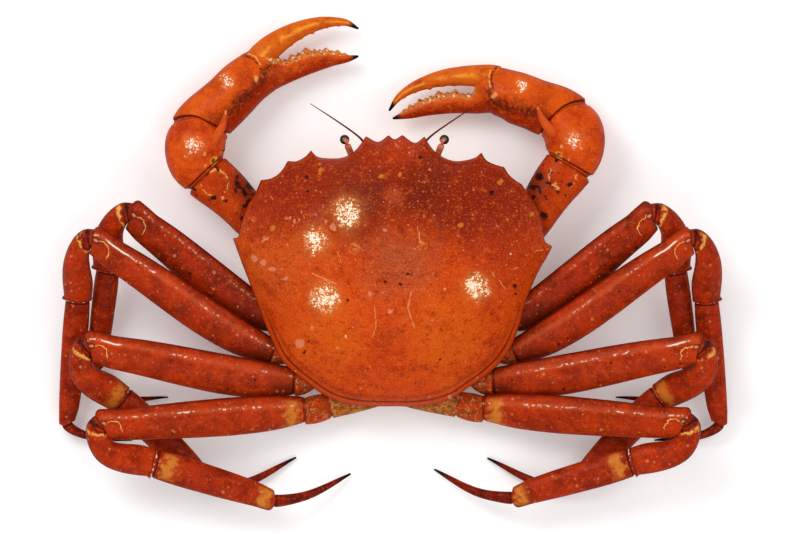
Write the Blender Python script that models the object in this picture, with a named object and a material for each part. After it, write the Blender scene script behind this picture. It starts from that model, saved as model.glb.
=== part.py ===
"""Deep-sea red crab as solid shell articles.

Lengths are millimetres in the tables and metres in the meshes. The crab rests on its
belly at z = 0, faces +Y, and its own left is -X. Tables give the distance outward from
the middle plane, so one function serves both sides.
"""
import math

import bmesh
import bpy
import numpy as np

MM = 0.001
# Brings the middle of the whole crab, limbs included, over the origin
SHIFT = (0.59, -0.23)
# Clearance between neighbouring shell articles, and where one is trimmed by the next
GAP = 0.3
TRIM_GAP = 0.2

# The widest line of the carapace lies in a plane that rises towards the front
RIM_HEIGHT = 32.0
RIM_SLOPE = 0.105
DOME_HEIGHT = 30.0
# Powers that give the dome its full shoulders
DOME_SPREAD = 2.4
DOME_FULLNESS = 0.72
SHELL_DEPTH = 3.0
DOME_CENTRE = (0.0, -3.0)
# Rings of the thin edge from the inner face out to the rim: share of the way out, share of the depth
EDGE_RINGS = ((0.95, 1.0), (0.985, 0.8), (1.0, 0.0))
# Rounds of smoothing that rub the teeth away, and where on the way out they rise again
SMOOTHING_ROUNDS = 14
TEETH_START = 0.8
TEETH_POWER = 1.5

# Half outlines of the carapace, outward and forward, from the front notch to the rear
FRONT_NOTCH = (0.0, 58.7)
REAR_MIDDLE = (0.0, -66.8)
LEFT_OUTLINE = (
    (2.8, 60.6), (7.7, 57.5), (13.4, 60.1), (16.5, 55.6), (20.0, 52.1), (24.5, 50.1), (30.0, 49.7),
    (36.0, 50.5), (39.2, 53.5), (41.8, 50.6), (46.0, 48.4), (50.1, 48.5), (53.4, 43.4), (57.7, 40.4),
    (62.7, 39.5), (65.2, 33.8), (68.5, 28.5), (70.8, 23.0), (72.3, 17.0), (73.4, 12.9), (75.9, 12.3),
    (74.3, 7.7), (71.3, -0.5), (67.8, -9.5), (64.1, -19.3), (60.6, -28.6), (57.0, -37.3), (52.8, -45.5),
    (46.6, -51.5), (40.3, -56.4), (33.0, -61.6), (25.0, -65.0), (16.8, -66.4), (8.4, -66.8),
)
RIGHT_OUTLINE = (
    (3.7, 60.7), (9.5, 57.0), (14.1, 60.0), (16.6, 55.8), (19.5, 52.6), (24.2, 49.6), (29.8, 48.4),
    (37.2, 49.8), (40.8, 52.4), (43.2, 48.8), (47.3, 46.8), (51.5, 45.6), (53.8, 42.0), (56.8, 39.4),
    (59.6, 37.7), (62.6, 33.4), (65.4, 29.4), (68.1, 23.8), (69.9, 14.7), (70.9, 10.6), (74.2, 8.4),
    (71.2, 2.6), (68.6, -1.6), (65.0, -9.2), (61.3, -18.9), (58.6, -29.0), (54.6, -39.2), (49.0, -47.0),
    (41.8, -53.4), (35.2, -57.7), (29.4, -61.8), (23.4, -64.4), (15.8, -66.2), (7.8, -66.8),
)
# Share of the way from the dome centre to the outline for each ring of the dome
DOME_RINGS = (0.985, 0.95, 0.89, 0.81, 0.71, 0.59, 0.46, 0.32, 0.16)
# Swellings and grooves of the carapace: outward, forward, radii, height; each on both sides
REGIONS = (
    (9.0, 26.0, 13.0, 15.0, 1.4),
    (0.0, -24.0, 11.0, 12.0, 1.3),
    (38.0, -16.0, 20.0, 24.0, 1.6),
    (40.0, 24.0, 15.0, 9.0, 1.3),
    (24.0, 6.0, 4.5, 15.0, -1.4),
    (34.0, 10.0, 13.0, 3.5, -0.9),
    (13.0, -20.0, 3.2, 11.0, -1.2),
)
REGION_FADE = 0.9

# Rings of the thorax from the carapace down to the sternum: size, height, forward slope
THORAX_RINGS = (
    (0.93, RIM_HEIGHT - SHELL_DEPTH - GAP, RIM_SLOPE), (0.90, 26.0, RIM_SLOPE), (0.64, 19.0, 0.05),
    (0.58, 8.0, 0.0), (0.53, 2.0, 0.0), (0.50, 0.0, 0.0),
)

# Tail flap folded under the body: forward, height, half width
FLAP = (
    (12.0, 1.6, 3.2), (2.0, 1.6, 6.0), (-16.0, 1.6, 9.0), (-37.0, 1.6, 13.0),
    (-44.5, 4.4, 14.5), (-50.5, 10.5, 15.5), (-55.5, 18.0, 16.0),
)
FLAP_HALF_DEPTH = 1.6
# Cross-section of the flap in half widths and half depths
FLAP_SECTION = ((-1.0, -1.0), (1.0, -1.0), (1.0, 0.35), (0.6, 1.0), (-0.6, 1.0), (-1.0, 0.35))

# Walking legs: outward and forward of hip, leg root, knee, bend, wrist, foot joint, foot bend, tip
LEFT_LEGS = (
    ((37.4, -16.0), (58.2, -25.6), (124.6, 23.0), (132.4, 14.0), (134.9, -3.1), (140.9, -50.6), (128.5, -62.6),
     (106.5, -62.7)),
    ((36.0, -30.9), (58.5, -41.0), (142.2, 11.0), (147.8, 1.5), (149.0, -17.2), (154.0, -75.4), (144.0, -81.0),
     (123.4, -83.0)),
    ((31.7, -42.5), (48.4, -55.2), (144.0, -39.4), (144.0, -51.6), (128.4, -64.0), (89.4, -101.8), (73.0, -104.0),
     (46.2, -91.0)),
    ((19.5, -62.0), (43.4, -68.4), (138.2, -76.2), (133.6, -87.6), (112.1, -93.8), (56.2, -111.0), (40.5, -108.6),
     (20.4, -98.7)),
)
RIGHT_LEGS = (
    ((36.4, -16.0), (57.2, -25.6), (122.0, 22.7), (130.2, 13.6), (132.3, -3.6), (139.0, -51.1), (126.5, -62.6),
     (104.1, -62.7)),
    ((35.0, -30.9), (57.6, -41.0), (139.8, 11.0), (145.8, 1.5), (146.8, -17.8), (152.8, -75.4), (143.0, -81.0),
     (122.4, -83.0)),
    ((30.8, -42.5), (47.5, -55.2), (143.6, -39.9), (142.4, -51.6), (124.9, -63.0), (86.9, -101.8), (71.0, -104.0),
     (43.6, -91.3)),
    ((18.5, -62.0), (42.9, -67.4), (137.2, -75.3), (132.8, -86.2), (110.7, -93.2), (55.2, -109.6), (38.6, -107.2),
     (18.5, -96.6)),
)
# Heights at the same eight places
LEG_HEIGHTS = (
    (14.5, 17.5, 37.0, 32.0, 20.0, 7.5, 5.0, 1.2),
    (14.5, 17.5, 46.0, 37.0, 21.0, 7.5, 5.0, 1.2),
    (13.5, 16.5, 36.5, 30.0, 20.5, 6.5, 5.0, 1.2),
    (12.0, 15.5, 34.0, 30.5, 27.0, 17.5, 11.0, 1.2),
)
# Guides that keep the long articles straight next to their bends: share of the way back
KNEE_GUIDE = 0.14
FOOT_GUIDE = 0.16
# Places on a leg's path, guides included, where one article meets the next
LEG_JOINTS = (1, 3, 5, 7, 9)
# Width of the upper and of the lower articles of each pair
LEG_SCALES = (1.16, 1.08, 1.16, 1.1)
FOOT_SCALES = (0.92, 0.97, 1.16, 1.15)
# Tilt of the flattened leg sections in degrees, front edge up, at the same eight places
LEG_TILTS = (30.0, 30.0, 14.0, 8.0, 4.0, 0.0, 0.0, 0.0)
# Stations of each leg article: share of its length, half width on the outside and on the
# inside of the bends, half depth
LEG_ARTICLES = (
    ("ischium", 10, ((0.0, 5.6, 5.6, 4.3), (0.5, 6.3, 6.3, 4.6), (1.0, 5.7, 5.7, 4.4))),
    ("merus", 10, ((0.0, 5.8, 5.8, 4.4), (0.12, 7.6, 7.6, 4.7), (0.3, 9.0, 9.0, 5.0), (0.5, 8.9, 8.9, 5.2),
                   (0.7, 8.1, 8.1, 5.2), (0.9, 7.1, 7.1, 5.1), (1.0, 6.9, 6.2, 4.9))),
    ("carpus", 10, ((0.0, 6.0, 1.4, 4.6), (0.22, 6.8, 1.2, 5.2), (0.45, 7.2, 4.4, 5.4), (0.75, 7.0, 6.6, 5.1),
                    (1.0, 6.2, 6.2, 4.7))),
    ("propodus", 10, ((0.0, 6.2, 6.2, 4.5), (0.12, 6.5, 6.5, 4.6), (0.45, 6.3, 6.3, 4.4), (0.8, 5.4, 5.4, 3.9),
                      (1.0, 4.7, 4.2, 3.5))),
    ("dactyl", 8, ((0.0, 3.2, 2.5, 2.9), (0.2, 2.4, 2.3, 2.4), (0.5, 1.8, 1.8, 1.8), (0.8, 1.1, 1.1, 1.1),
                   (1.0, 0.4, 0.4, 0.4))),
)
# Articles next to a sharp bend, trimmed by the one before
BENT_ARTICLES = ("carpus", "dactyl")
# First article: its share of the way to the leg root, and its length inside the body
COXA_SHARE = 0.5
COXA_ROOT = 22.0
LEG_COXA = ((0.0, 6.4, 6.4, 4.8), (0.7, 6.6, 6.6, 4.9), (1.0, 5.8, 5.8, 4.5))
ARM_COXA = ((0.0, 9.0, 9.0, 7.6), (1.0, 8.4, 8.4, 7.2))
# Rod that carries the last coxa behind the body: outward, forward, height, half width, half depth
REAR_HIP = ((24.0, -38.0, 13.0, 6.5, 5.0), (24.0, -51.0, 13.5, 6.5, 5.0), (23.0, -63.0, 13.5, 6.0, 4.6))

# Claw arms: outward, forward, height along the arm; then the stations of each article
LEFT_ARM = (
    (39.0, 4.0, 18.5), (55.7, 13.3, 19.5), (63.5, 18.3, 20.0), (78.3, 33.4, 20.5), (89.0, 43.4, 20.5),
    (93.0, 49.0, 20.0), (93.8, 56.1, 19.0), (92.4, 62.4, 18.0), (89.6, 66.8, 17.0), (79.0, 76.3, 16.0),
    (69.5, 84.5, 15.0), (60.0, 89.3, 13.5), (51.9, 91.6, 12.5), (41.6, 94.5, 12.0), (29.8, 97.0, 11.5),
    (21.4, 97.6, 11.2), (16.9, 98.0, 11.0),
)
RIGHT_ARM = (
    (39.0, 4.0, 18.5), (55.2, 11.4, 19.5), (62.3, 17.8, 20.0), (74.8, 36.6, 20.5), (82.3, 47.4, 20.5),
    (84.6, 53.7, 20.0), (84.6, 60.6, 19.0), (81.8, 66.8, 18.0), (76.9, 70.8, 17.0), (67.4, 74.4, 16.0),
    (55.3, 78.8, 15.0), (45.4, 79.0, 13.5), (37.8, 76.6, 12.5), (26.6, 76.0, 12.0), (15.7, 74.0, 11.5),
    (6.8, 71.0, 11.2), (-0.9, 68.6, 11.0),
)
ARM_JOINTS = (0, 1, 4, 8, 16)
# Share of the article, half width towards the body, half width away from it, half depth
ARM_ARTICLES = (
    ("ischium", 12, ((0.0, 7.6, 7.6, 6.8), (0.5, 8.4, 8.4, 7.4), (1.0, 8.2, 8.2, 7.2))),
    ("merus", 12, ((0.0, 8.4, 8.4, 7.4), (0.2, 9.8, 9.8, 8.4), (0.5, 10.6, 10.6, 9.0), (0.8, 10.6, 10.6, 9.0),
                   (1.0, 9.6, 9.6, 8.2))),
    ("carpus", 14, ((0.0, 9.4, 9.4, 8.2), (0.15, 12.2, 12.2, 10.4), (0.35, 14.2, 14.2, 12.0),
                    (0.6, 14.6, 14.6, 12.2), (0.85, 13.9, 13.9, 11.4), (1.0, 12.6, 12.6, 10.4))),
)
# Half widths of the palm and fixed finger at the last nine places of the arm table
LEFT_PALM = ((12.8, 14.0, 9.8), (12.2, 13.2, 10.5), (11.0, 13.6, 10.0), (8.8, 13.0, 8.4), (7.0, 4.8, 5.8),
             (5.6, 5.6, 4.6), (4.0, 3.4, 3.4), (2.3, 1.0, 1.7), (0.5, 0.5, 0.5))
RIGHT_PALM = ((13.2, 13.8, 9.8), (12.6, 13.0, 10.5), (12.4, 12.8, 10.0), (9.0, 13.2, 8.4), (6.0, 4.6, 5.8),
              (5.2, 4.8, 4.6), (4.2, 3.8, 3.4), (2.6, 2.4, 1.9), (0.5, 0.5, 0.5))
PALM_SIDES = 12
# Place of the palm where its fixed finger starts, and the depth of the dips between its teeth
FINGER_PLACE = 4
TOOTH_HEIGHT = 0.9

# Movable fingers: outward, forward, height, half width, half depth
LEFT_FINGER = (
    (66.6, 93.4, 14.0, 6.2, 5.6), (63.0, 97.8, 14.0, 6.4, 5.4), (57.8, 102.5, 13.8, 6.1, 5.0),
    (50.5, 107.5, 13.5, 5.1, 4.4), (42.0, 111.5, 13.2, 4.0, 3.7), (34.0, 113.7, 12.8, 3.1, 3.0),
    (28.3, 114.2, 12.5, 2.4, 2.5), (22.6, 113.7, 12.2, 1.7, 1.8), (16.9, 110.9, 12.0, 0.5, 0.5),
)
RIGHT_FINGER = (
    (50.6, 87.6, 14.0, 5.8, 5.4), (45.4, 88.4, 14.0, 5.9, 5.2), (38.6, 88.7, 13.8, 5.4, 4.8),
    (31.2, 88.6, 13.5, 4.8, 4.3), (23.6, 87.8, 13.2, 4.2, 3.7), (16.2, 86.0, 12.8, 3.5, 3.1),
    (8.2, 82.8, 12.5, 2.6, 2.5), (1.8, 78.3, 12.2, 1.7, 1.8), (-2.6, 72.2, 12.0, 0.5, 0.5),
)
FINGER_SIDES = 10
# Spine on the wrist ball of each arm: outward, forward, height, radius
LEFT_SPINE = ((85.6, 57.0, 25.5, 3.0), (80.9, 65.0, 29.6, 1.9), (79.0, 72.9, 31.6, 0.35))
RIGHT_SPINE = ((75.4, 60.5, 25.5, 3.0), (69.6, 68.0, 29.6, 1.9), (66.9, 75.2, 31.6, 0.35))

# Eye stalks, eyes and feelers: outward, forward, height, radius
STALK = ((20.0, 50.2, 32.4, 1.4), (20.8, 52.8, 33.4, 1.4), (22.3, 56.2, 36.4, 1.4))
EYE_CENTRE = (23.4, 58.5, 37.8)
EYE_RADIUS = 2.3
FEELER = (
    (11.8, 52.4, 30.8, 1.4), (13.4, 56.0, 32.4, 1.1), (17.2, 60.2, 35.2, 0.8), (27.0, 67.2, 39.0, 0.6),
    (39.6, 75.4, 41.0, 0.3),
)
FEELER_SIDES = 8

# Colour, roughness and metallic of each kind of shell
FINISHES = {
    "carapace_shell": ((0.46, 0.070, 0.018), 0.34, 0.0),
    "leg_shell": ((0.40, 0.042, 0.010), 0.36, 0.0),
    "claw_shell": ((0.52, 0.095, 0.022), 0.34, 0.0),
    "belly_shell": ((0.62, 0.33, 0.17), 0.42, 0.0),
    "eye_surface": ((0.030, 0.022, 0.020), 0.15, 0.0),
    "stalk_skin": ((0.50, 0.18, 0.10), 0.45, 0.0),
}

materials = {}


def finish(slot):
    """Return the Principled material of one slot."""
    if slot not in materials:
        colour, roughness, metallic = FINISHES[slot]
        material = bpy.data.materials.new(slot)
        material.use_nodes = True
        shader = material.node_tree.nodes["Principled BSDF"]
        shader.inputs["Base Color"].default_value = (*colour, 1.0)
        shader.inputs["Roughness"].default_value = roughness
        shader.inputs["Metallic"].default_value = metallic
        materials[slot] = material
    return materials[slot]


def clear_scene():
    """Remove every object of the start-up scene."""
    for item in list(bpy.data.objects):
        bpy.data.objects.remove(item, do_unlink=True)


def add_object(name, points, faces, slot=None):
    """Make one closed mesh object from millimetre points."""
    mesh = bpy.data.meshes.new(name)
    placed = [((x + SHIFT[0]) * MM, (y + SHIFT[1]) * MM, z * MM) for x, y, z in points]
    mesh.from_pydata(placed, [], faces)
    bm = bmesh.new()
    bm.from_mesh(mesh)
    bmesh.ops.recalc_face_normals(bm, faces=bm.faces)
    # Fixed diagonals give a piece and its grown cutter the same facets
    bmesh.ops.triangulate(bm, faces=[face for face in bm.faces if len(face.verts) == 4], quad_method="FIXED")
    bm.to_mesh(mesh)
    bm.free()
    item = bpy.data.objects.new(name, mesh)
    bpy.context.scene.collection.objects.link(item)
    if slot:
        mesh.materials.append(finish(slot))
    return item


def combine(target, tools, operation):
    """Join tools to the target or cut them from it, then drop the tools."""
    for tool in tools:
        modifier = target.modifiers.new(tool.name, "BOOLEAN")
        modifier.operation = operation
        modifier.solver = "EXACT"
        modifier.object = tool
    bpy.context.view_layer.update()
    graph = bpy.context.evaluated_depsgraph_get()
    mesh = bpy.data.meshes.new_from_object(target.evaluated_get(graph))
    target.modifiers.clear()
    target.data = mesh
    for tool in tools:
        bpy.data.objects.remove(tool, do_unlink=True)


def ring_faces(rings, sides):
    """Return the side and end faces of stacked rings of points."""
    faces = []
    for level in range(rings - 1):
        for k in range(sides):
            here = level * sides + k
            after = level * sides + (k + 1) % sides
            faces.append((here, after, after + sides, here + sides))
    faces.append(tuple(range(sides)))
    faces.append(tuple((rings - 1) * sides + k for k in range(sides)))
    return faces


class Path:
    """Smooth line through points, measured along its length."""

    STEPS = 24

    def __init__(self, points):
        points = np.array(points, dtype=float)
        steps = np.linalg.norm(np.diff(points[:, :3], axis=0), axis=1)
        knots = np.concatenate(([0.0], np.cumsum(steps)))
        slopes = np.zeros_like(points)
        for i in range(len(points)):
            before = max(i - 1, 0)
            after = min(i + 1, len(points) - 1)
            slopes[i] = (points[after] - points[before]) / (knots[after] - knots[before])
        dense = []
        for i in range(len(points) - 1):
            span = knots[i + 1] - knots[i]
            for step in range(self.STEPS):
                t = step / self.STEPS
                dense.append(
                    (2 * t**3 - 3 * t**2 + 1) * points[i] + (t**3 - 2 * t**2 + t) * span * slopes[i]
                    + (3 * t**2 - 2 * t**3) * points[i + 1] + (t**3 - t**2) * span * slopes[i + 1]
                )
        dense.append(points[-1])
        self.dense = np.array(dense)
        lengths = np.linalg.norm(np.diff(self.dense[:, :3], axis=0), axis=1)
        self.along = np.concatenate(([0.0], np.cumsum(lengths)))

    def distance(self, index):
        """Length along the path at one of its points."""
        return self.along[round(index * self.STEPS)]

    def at(self, distance):
        """Values of the path at a length along it, run on straight past its ends."""
        inside = min(max(distance, 0.0), self.along[-1])
        values = np.array([np.interp(inside, self.along, column) for column in self.dense.T])
        values[:3] += (distance - inside) * self.direction(inside)
        return values

    def direction(self, distance):
        """Unit direction of travel at a length along the path."""
        reach = 0.4
        distance = min(max(distance, 0.0), self.along[-1])
        low = max(distance - reach, 0.0)
        high = min(distance + reach, self.along[-1])
        ends = [[np.interp(place, self.along, column) for column in self.dense.T[:3]] for place in (low, high)]
        step = np.array(ends[1]) - np.array(ends[0])
        return step / np.linalg.norm(step)


def loft(name, path, start, end, stations, sides, side, slot=None, grow=0.0, gaps=(GAP / 2, GAP / 2)):
    """Skin one article between two lengths of a path.

    Each station holds its share of the length, the half widths on both sides and the half
    depth. The path's fourth value tilts the section. A grown copy serves as a cutter.
    """
    start = start + gaps[0] - grow
    end = end - gaps[1] + grow
    points = []
    for share, width_out, width_in, depth in stations:
        place = start + share * (end - start)
        values = path.at(place)
        travel = path.direction(place)
        across = np.cross((0.0, 0.0, 1.0), travel)
        across /= np.linalg.norm(across)
        upward = np.cross(travel, across)
        tilt = math.radians(values[3])
        wide = math.cos(tilt) * across + math.sin(tilt) * upward
        deep = math.cos(tilt) * upward - math.sin(tilt) * across
        for k in range(sides):
            angle = math.tau * (k + 0.5) / sides
            c = math.cos(angle)
            s = math.sin(angle)
            reach = (width_out if c > 0 else width_in) + grow
            point = values[:3] + c * reach * wide + s * (depth + grow) * deep
            points.append((side * point[0], point[1], point[2]))
    return add_object(name, points, ring_faces(len(stations), sides), slot)


def widened(stations, scale):
    """Scale the half widths of stations."""
    return tuple((share, out * scale, inside * scale, depth) for share, out, inside, depth in stations)


def rod(name, rows, side, sides, slot=None, grow=0.0):
    """Skin a rod through rows of outward, forward, height, half width and half depth."""
    path = Path([(*row[:3], 0.0) for row in rows])
    whole = path.along[-1]
    stations = []
    for index, row in enumerate(rows):
        depth = row[4] if len(row) > 4 else row[3]
        stations.append((path.distance(index) / whole, row[3], row[3], depth))
    return loft(name, path, 0.0, whole, stations, sides, side, slot, grow, (0.0, 0.0))


def outline_loop():
    """Closed outline of the carapace, from the front notch round by the left side."""
    left = [(-x, y) for x, y in LEFT_OUTLINE]
    right = list(RIGHT_OUTLINE)
    return np.array([FRONT_NOTCH, *left, REAR_MIDDLE, *reversed(right)])


def smooth_loop(loop):
    """Outline with its teeth and spines rubbed away."""
    for _ in range(SMOOTHING_ROUNDS):
        loop = (np.roll(loop, 1, axis=0) + 2 * loop + np.roll(loop, -1, axis=0)) / 4
    return loop


def ring_points(share, plain, toothed):
    """Places of one ring of the shield; the teeth rise only near the rim."""
    centre = np.array(DOME_CENTRE)
    blend = max(0.0, (share - TEETH_START) / (1.0 - TEETH_START)) ** TEETH_POWER
    return centre + share * (plain + blend * (toothed - plain) - centre)


def rim_height(y):
    """Height of the widest line of the carapace."""
    return RIM_HEIGHT + RIM_SLOPE * y


def dome_height(x, y, share):
    """Height of the carapace top at a place and its share of the way to the rim."""
    height = rim_height(y) + DOME_HEIGHT * (1.0 - share**DOME_SPREAD) ** DOME_FULLNESS
    fade = 1.0 if share < REGION_FADE else max(0.0, (1.0 - share) / (1.0 - REGION_FADE))
    for outward, forward, radius_x, radius_y, rise in REGIONS:
        reach = ((abs(x) - outward) / radius_x) ** 2 + ((y - forward) / radius_y) ** 2
        height += fade * rise * math.exp(-reach)
    return height


def build_carapace():
    """Domed shield with its teeth and side spines."""
    toothed = outline_loop()
    plain = smooth_loop(toothed)
    count = len(toothed)
    points = []
    for share, drop in EDGE_RINGS:
        for x, y in ring_points(share, plain, toothed):
            points.append((x, y, rim_height(y) - drop * SHELL_DEPTH))
    for share in DOME_RINGS:
        for x, y in ring_points(share, plain, toothed):
            points.append((x, y, dome_height(x, y, share)))
    rings = len(EDGE_RINGS) + len(DOME_RINGS)
    faces = ring_faces(rings, count)
    faces.pop()
    points.append((*DOME_CENTRE, dome_height(*DOME_CENTRE, 0.0)))
    last = (rings - 1) * count
    for k in range(count):
        faces.append((last + k, last + (k + 1) % count, len(points) - 1))
    return add_object("carapace", points, faces, "carapace_shell")


def build_flap(name, slot=None, grow=0.0):
    """Tail flap that lies along the belly and turns up behind the body."""
    rows = [(0.0, y, z, width, FLAP_HALF_DEPTH) for y, z, width in FLAP]
    points = []
    path = Path([(*row[:3], 0.0) for row in rows])
    for index, row in enumerate(rows):
        travel = path.direction(path.distance(index))
        upward = np.array((0.0, -travel[2], travel[1])) * (-1.0 if travel[1] < 0 else 1.0)
        shift = travel * grow * (-1.0 if index == 0 else 1.0 if index == len(rows) - 1 else 0.0)
        middle = np.array(row[:3]) + shift
        depth = row[4] + grow
        for across, up in FLAP_SECTION:
            points.append(tuple(middle + np.array((across * (row[3] + grow), 0, 0)) + up * depth * upward))
    return add_object(name, points, ring_faces(len(rows), 6), slot)


def build_thorax():
    """Body box under the carapace, with the first article of every limb fused to it."""
    plain = smooth_loop(outline_loop())[::2]
    centre = np.array(DOME_CENTRE)
    points = []
    for share, height, slope in THORAX_RINGS:
        for x, y in centre + share * (plain - centre):
            points.append((x, y, height + slope * y))
    thorax = add_object("thorax", points, ring_faces(len(THORAX_RINGS), len(plain)), "belly_shell")
    tools = []
    cutters = [build_flap("flap_cutter", None, GAP)]
    for side, legs, arm in ((-1, LEFT_LEGS, LEFT_ARM), (1, RIGHT_LEGS, RIGHT_ARM)):
        for index, leg in enumerate(legs):
            path = leg_path(leg, index)
            end = COXA_SHARE * path.distance(1)
            tools.append(loft("coxa", path, -COXA_ROOT, end, LEG_COXA, 10, side))
            for article, first, last in ((0, end, path.distance(1)), (1, path.distance(1), path.distance(3))):
                _, sides, rows = LEG_ARTICLES[article]
                sized = widened(rows, article_scale(index, article))
                cutters.append(loft("socket", path, first, last, sized, sides, side, None, TRIM_GAP))
        tools.append(rod("rear_hip", REAR_HIP, side, 10))
        path = Path([(*row, 0.0) for row in arm])
        end = COXA_SHARE * path.distance(1)
        tools.append(loft("arm_coxa", path, -COXA_ROOT, end, ARM_COXA, 12, side))
        for article, first, last in ((0, end, path.distance(1)), (1, path.distance(1), path.distance(4))):
            _, sides, rows = ARM_ARTICLES[article]
            cutters.append(loft("socket", path, first, last, rows, sides, side, None, TRIM_GAP))
    combine(thorax, tools, "UNION")
    combine(thorax, cutters, "DIFFERENCE")
    return thorax


def article_scale(index, number):
    """Width scale of one article of one leg pair."""
    scales = ((1.0,) * len(LEG_SCALES), LEG_SCALES, LEG_SCALES, FOOT_SCALES, FOOT_SCALES)
    return scales[number][index]


def leg_path(leg, index):
    """Smooth middle line of one leg with its tilt."""
    rows = []
    for place, (x, y) in enumerate(leg):
        rows.append((x, y, LEG_HEIGHTS[index][place], LEG_TILTS[place]))
    rows = [np.array(row) for row in rows]
    knee_guide = rows[2] + KNEE_GUIDE * (rows[1] - rows[2])
    foot_guide = rows[5] + FOOT_GUIDE * (rows[4] - rows[5])
    rows.insert(5, foot_guide)
    rows.insert(2, knee_guide)
    return Path(rows)


def build_leg(side, letter, leg, index):
    """Five articles of one walking leg."""
    path = leg_path(leg, index)
    marks = [COXA_SHARE * path.distance(1)]
    for joint in LEG_JOINTS:
        marks.append(path.distance(joint))
    for number, (article, sides, stations) in enumerate(LEG_ARTICLES):
        scale = article_scale(index, number)
        sized = widened(stations, scale)
        name = f"{letter}_leg_{index + 1}_{article}"
        piece = loft(name, path, marks[number], marks[number + 1], sized, sides, side, "leg_shell")
        if article in BENT_ARTICLES:
            _, sides, rows = LEG_ARTICLES[number - 1]
            sized = widened(rows, article_scale(index, number - 1))
            cutter = loft("cutter", path, marks[number - 1], marks[number], sized, sides, side, None, TRIM_GAP)
            combine(piece, [cutter], "DIFFERENCE")


def palm_stations(path, rows, first):
    """Stations of the palm at the arm's own places, with teeth between the finger ones."""
    start = path.distance(first)
    whole = path.along[-1] - start
    stations = []
    for index, (inner, outer, depth) in enumerate(rows):
        share = (path.distance(first + index) - start) / whole
        if FINGER_PLACE < index < len(rows) - 1:
            before = rows[index - 1]
            middle = (path.distance(first + index - 0.5) - start) / whole
            stations.append((middle, (inner + before[0]) / 2, (outer + before[1]) / 2 - TOOTH_HEIGHT,
                             (depth + before[2]) / 2))
        stations.append((share, inner, outer, depth))
    return stations


def build_arm(side, letter, arm, palm, finger, spine):
    """Claw arm: three articles, palm with its fixed finger, and the movable finger."""
    path = Path([(*row, 0.0) for row in arm])
    marks = [COXA_SHARE * path.distance(1)]
    for joint in ARM_JOINTS[1:]:
        marks.append(path.distance(joint))
    for number, (article, sides, stations) in enumerate(ARM_ARTICLES):
        name = f"{letter}_arm_{article}"
        piece = loft(name, path, marks[number], marks[number + 1], stations, sides, side, "claw_shell")
        if article == "carpus":
            combine(piece, [rod("spine", spine, side, 8)], "UNION")
    stations = palm_stations(path, palm, ARM_JOINTS[3])
    palm_piece = loft(f"{letter}_palm", path, marks[3], marks[4], stations, PALM_SIDES, side, "claw_shell",
                      0.0, (GAP / 2, 0.0))
    wrist = ARM_ARTICLES[2]
    cutters = [
        rod("finger_cutter", finger, side, FINGER_SIDES, None, GAP),
        loft("wrist_cutter", path, marks[2], marks[3], wrist[2], wrist[1], side, None, TRIM_GAP),
    ]
    combine(palm_piece, cutters, "DIFFERENCE")
    rod(f"{letter}_finger", finger, side, FINGER_SIDES, "claw_shell")


def build_eye(side, letter):
    """Eye stalk with its round eye."""
    rod(f"{letter}_eye_stalk", STALK, side, 8, "stalk_skin")
    x, y, z = EYE_CENTRE
    bm = bmesh.new()
    bmesh.ops.create_uvsphere(bm, u_segments=12, v_segments=8, radius=EYE_RADIUS * MM)
    bmesh.ops.translate(bm, verts=bm.verts, vec=((side * x + SHIFT[0]) * MM, (y + SHIFT[1]) * MM, z * MM))
    mesh = bpy.data.meshes.new(f"{letter}_eye")
    bm.to_mesh(mesh)
    bm.free()
    mesh.materials.append(finish("eye_surface"))
    item = bpy.data.objects.new(f"{letter}_eye", mesh)
    bpy.context.scene.collection.objects.link(item)


def build():
    """Build every part of the crab."""
    clear_scene()
    build_carapace()
    build_thorax()
    build_flap("tail_flap", "belly_shell")
    sides = (
        (-1, "left", LEFT_LEGS, LEFT_ARM, LEFT_PALM, LEFT_FINGER, LEFT_SPINE),
        (1, "right", RIGHT_LEGS, RIGHT_ARM, RIGHT_PALM, RIGHT_FINGER, RIGHT_SPINE),
    )
    for side, letter, legs, arm, palm, finger, spine in sides:
        for index, leg in enumerate(legs):
            build_leg(side, letter, leg, index)
        build_arm(side, letter, arm, palm, finger, spine)
        build_eye(side, letter)
        rod(f"{letter}_feeler", FEELER, side, FEELER_SIDES, "stalk_skin")


build()
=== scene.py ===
"""Deep-sea red crab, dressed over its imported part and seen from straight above.

Lengths are millimetres in the tables and metres in the meshes. The crab faces +Y and its
own left is -X. Tables give the distance outward from the middle plane, so that one class
serves both sides.
"""

import logging
import math
from dataclasses import dataclass, field, replace
from enum import Enum
from typing import Callable, Sequence

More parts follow.
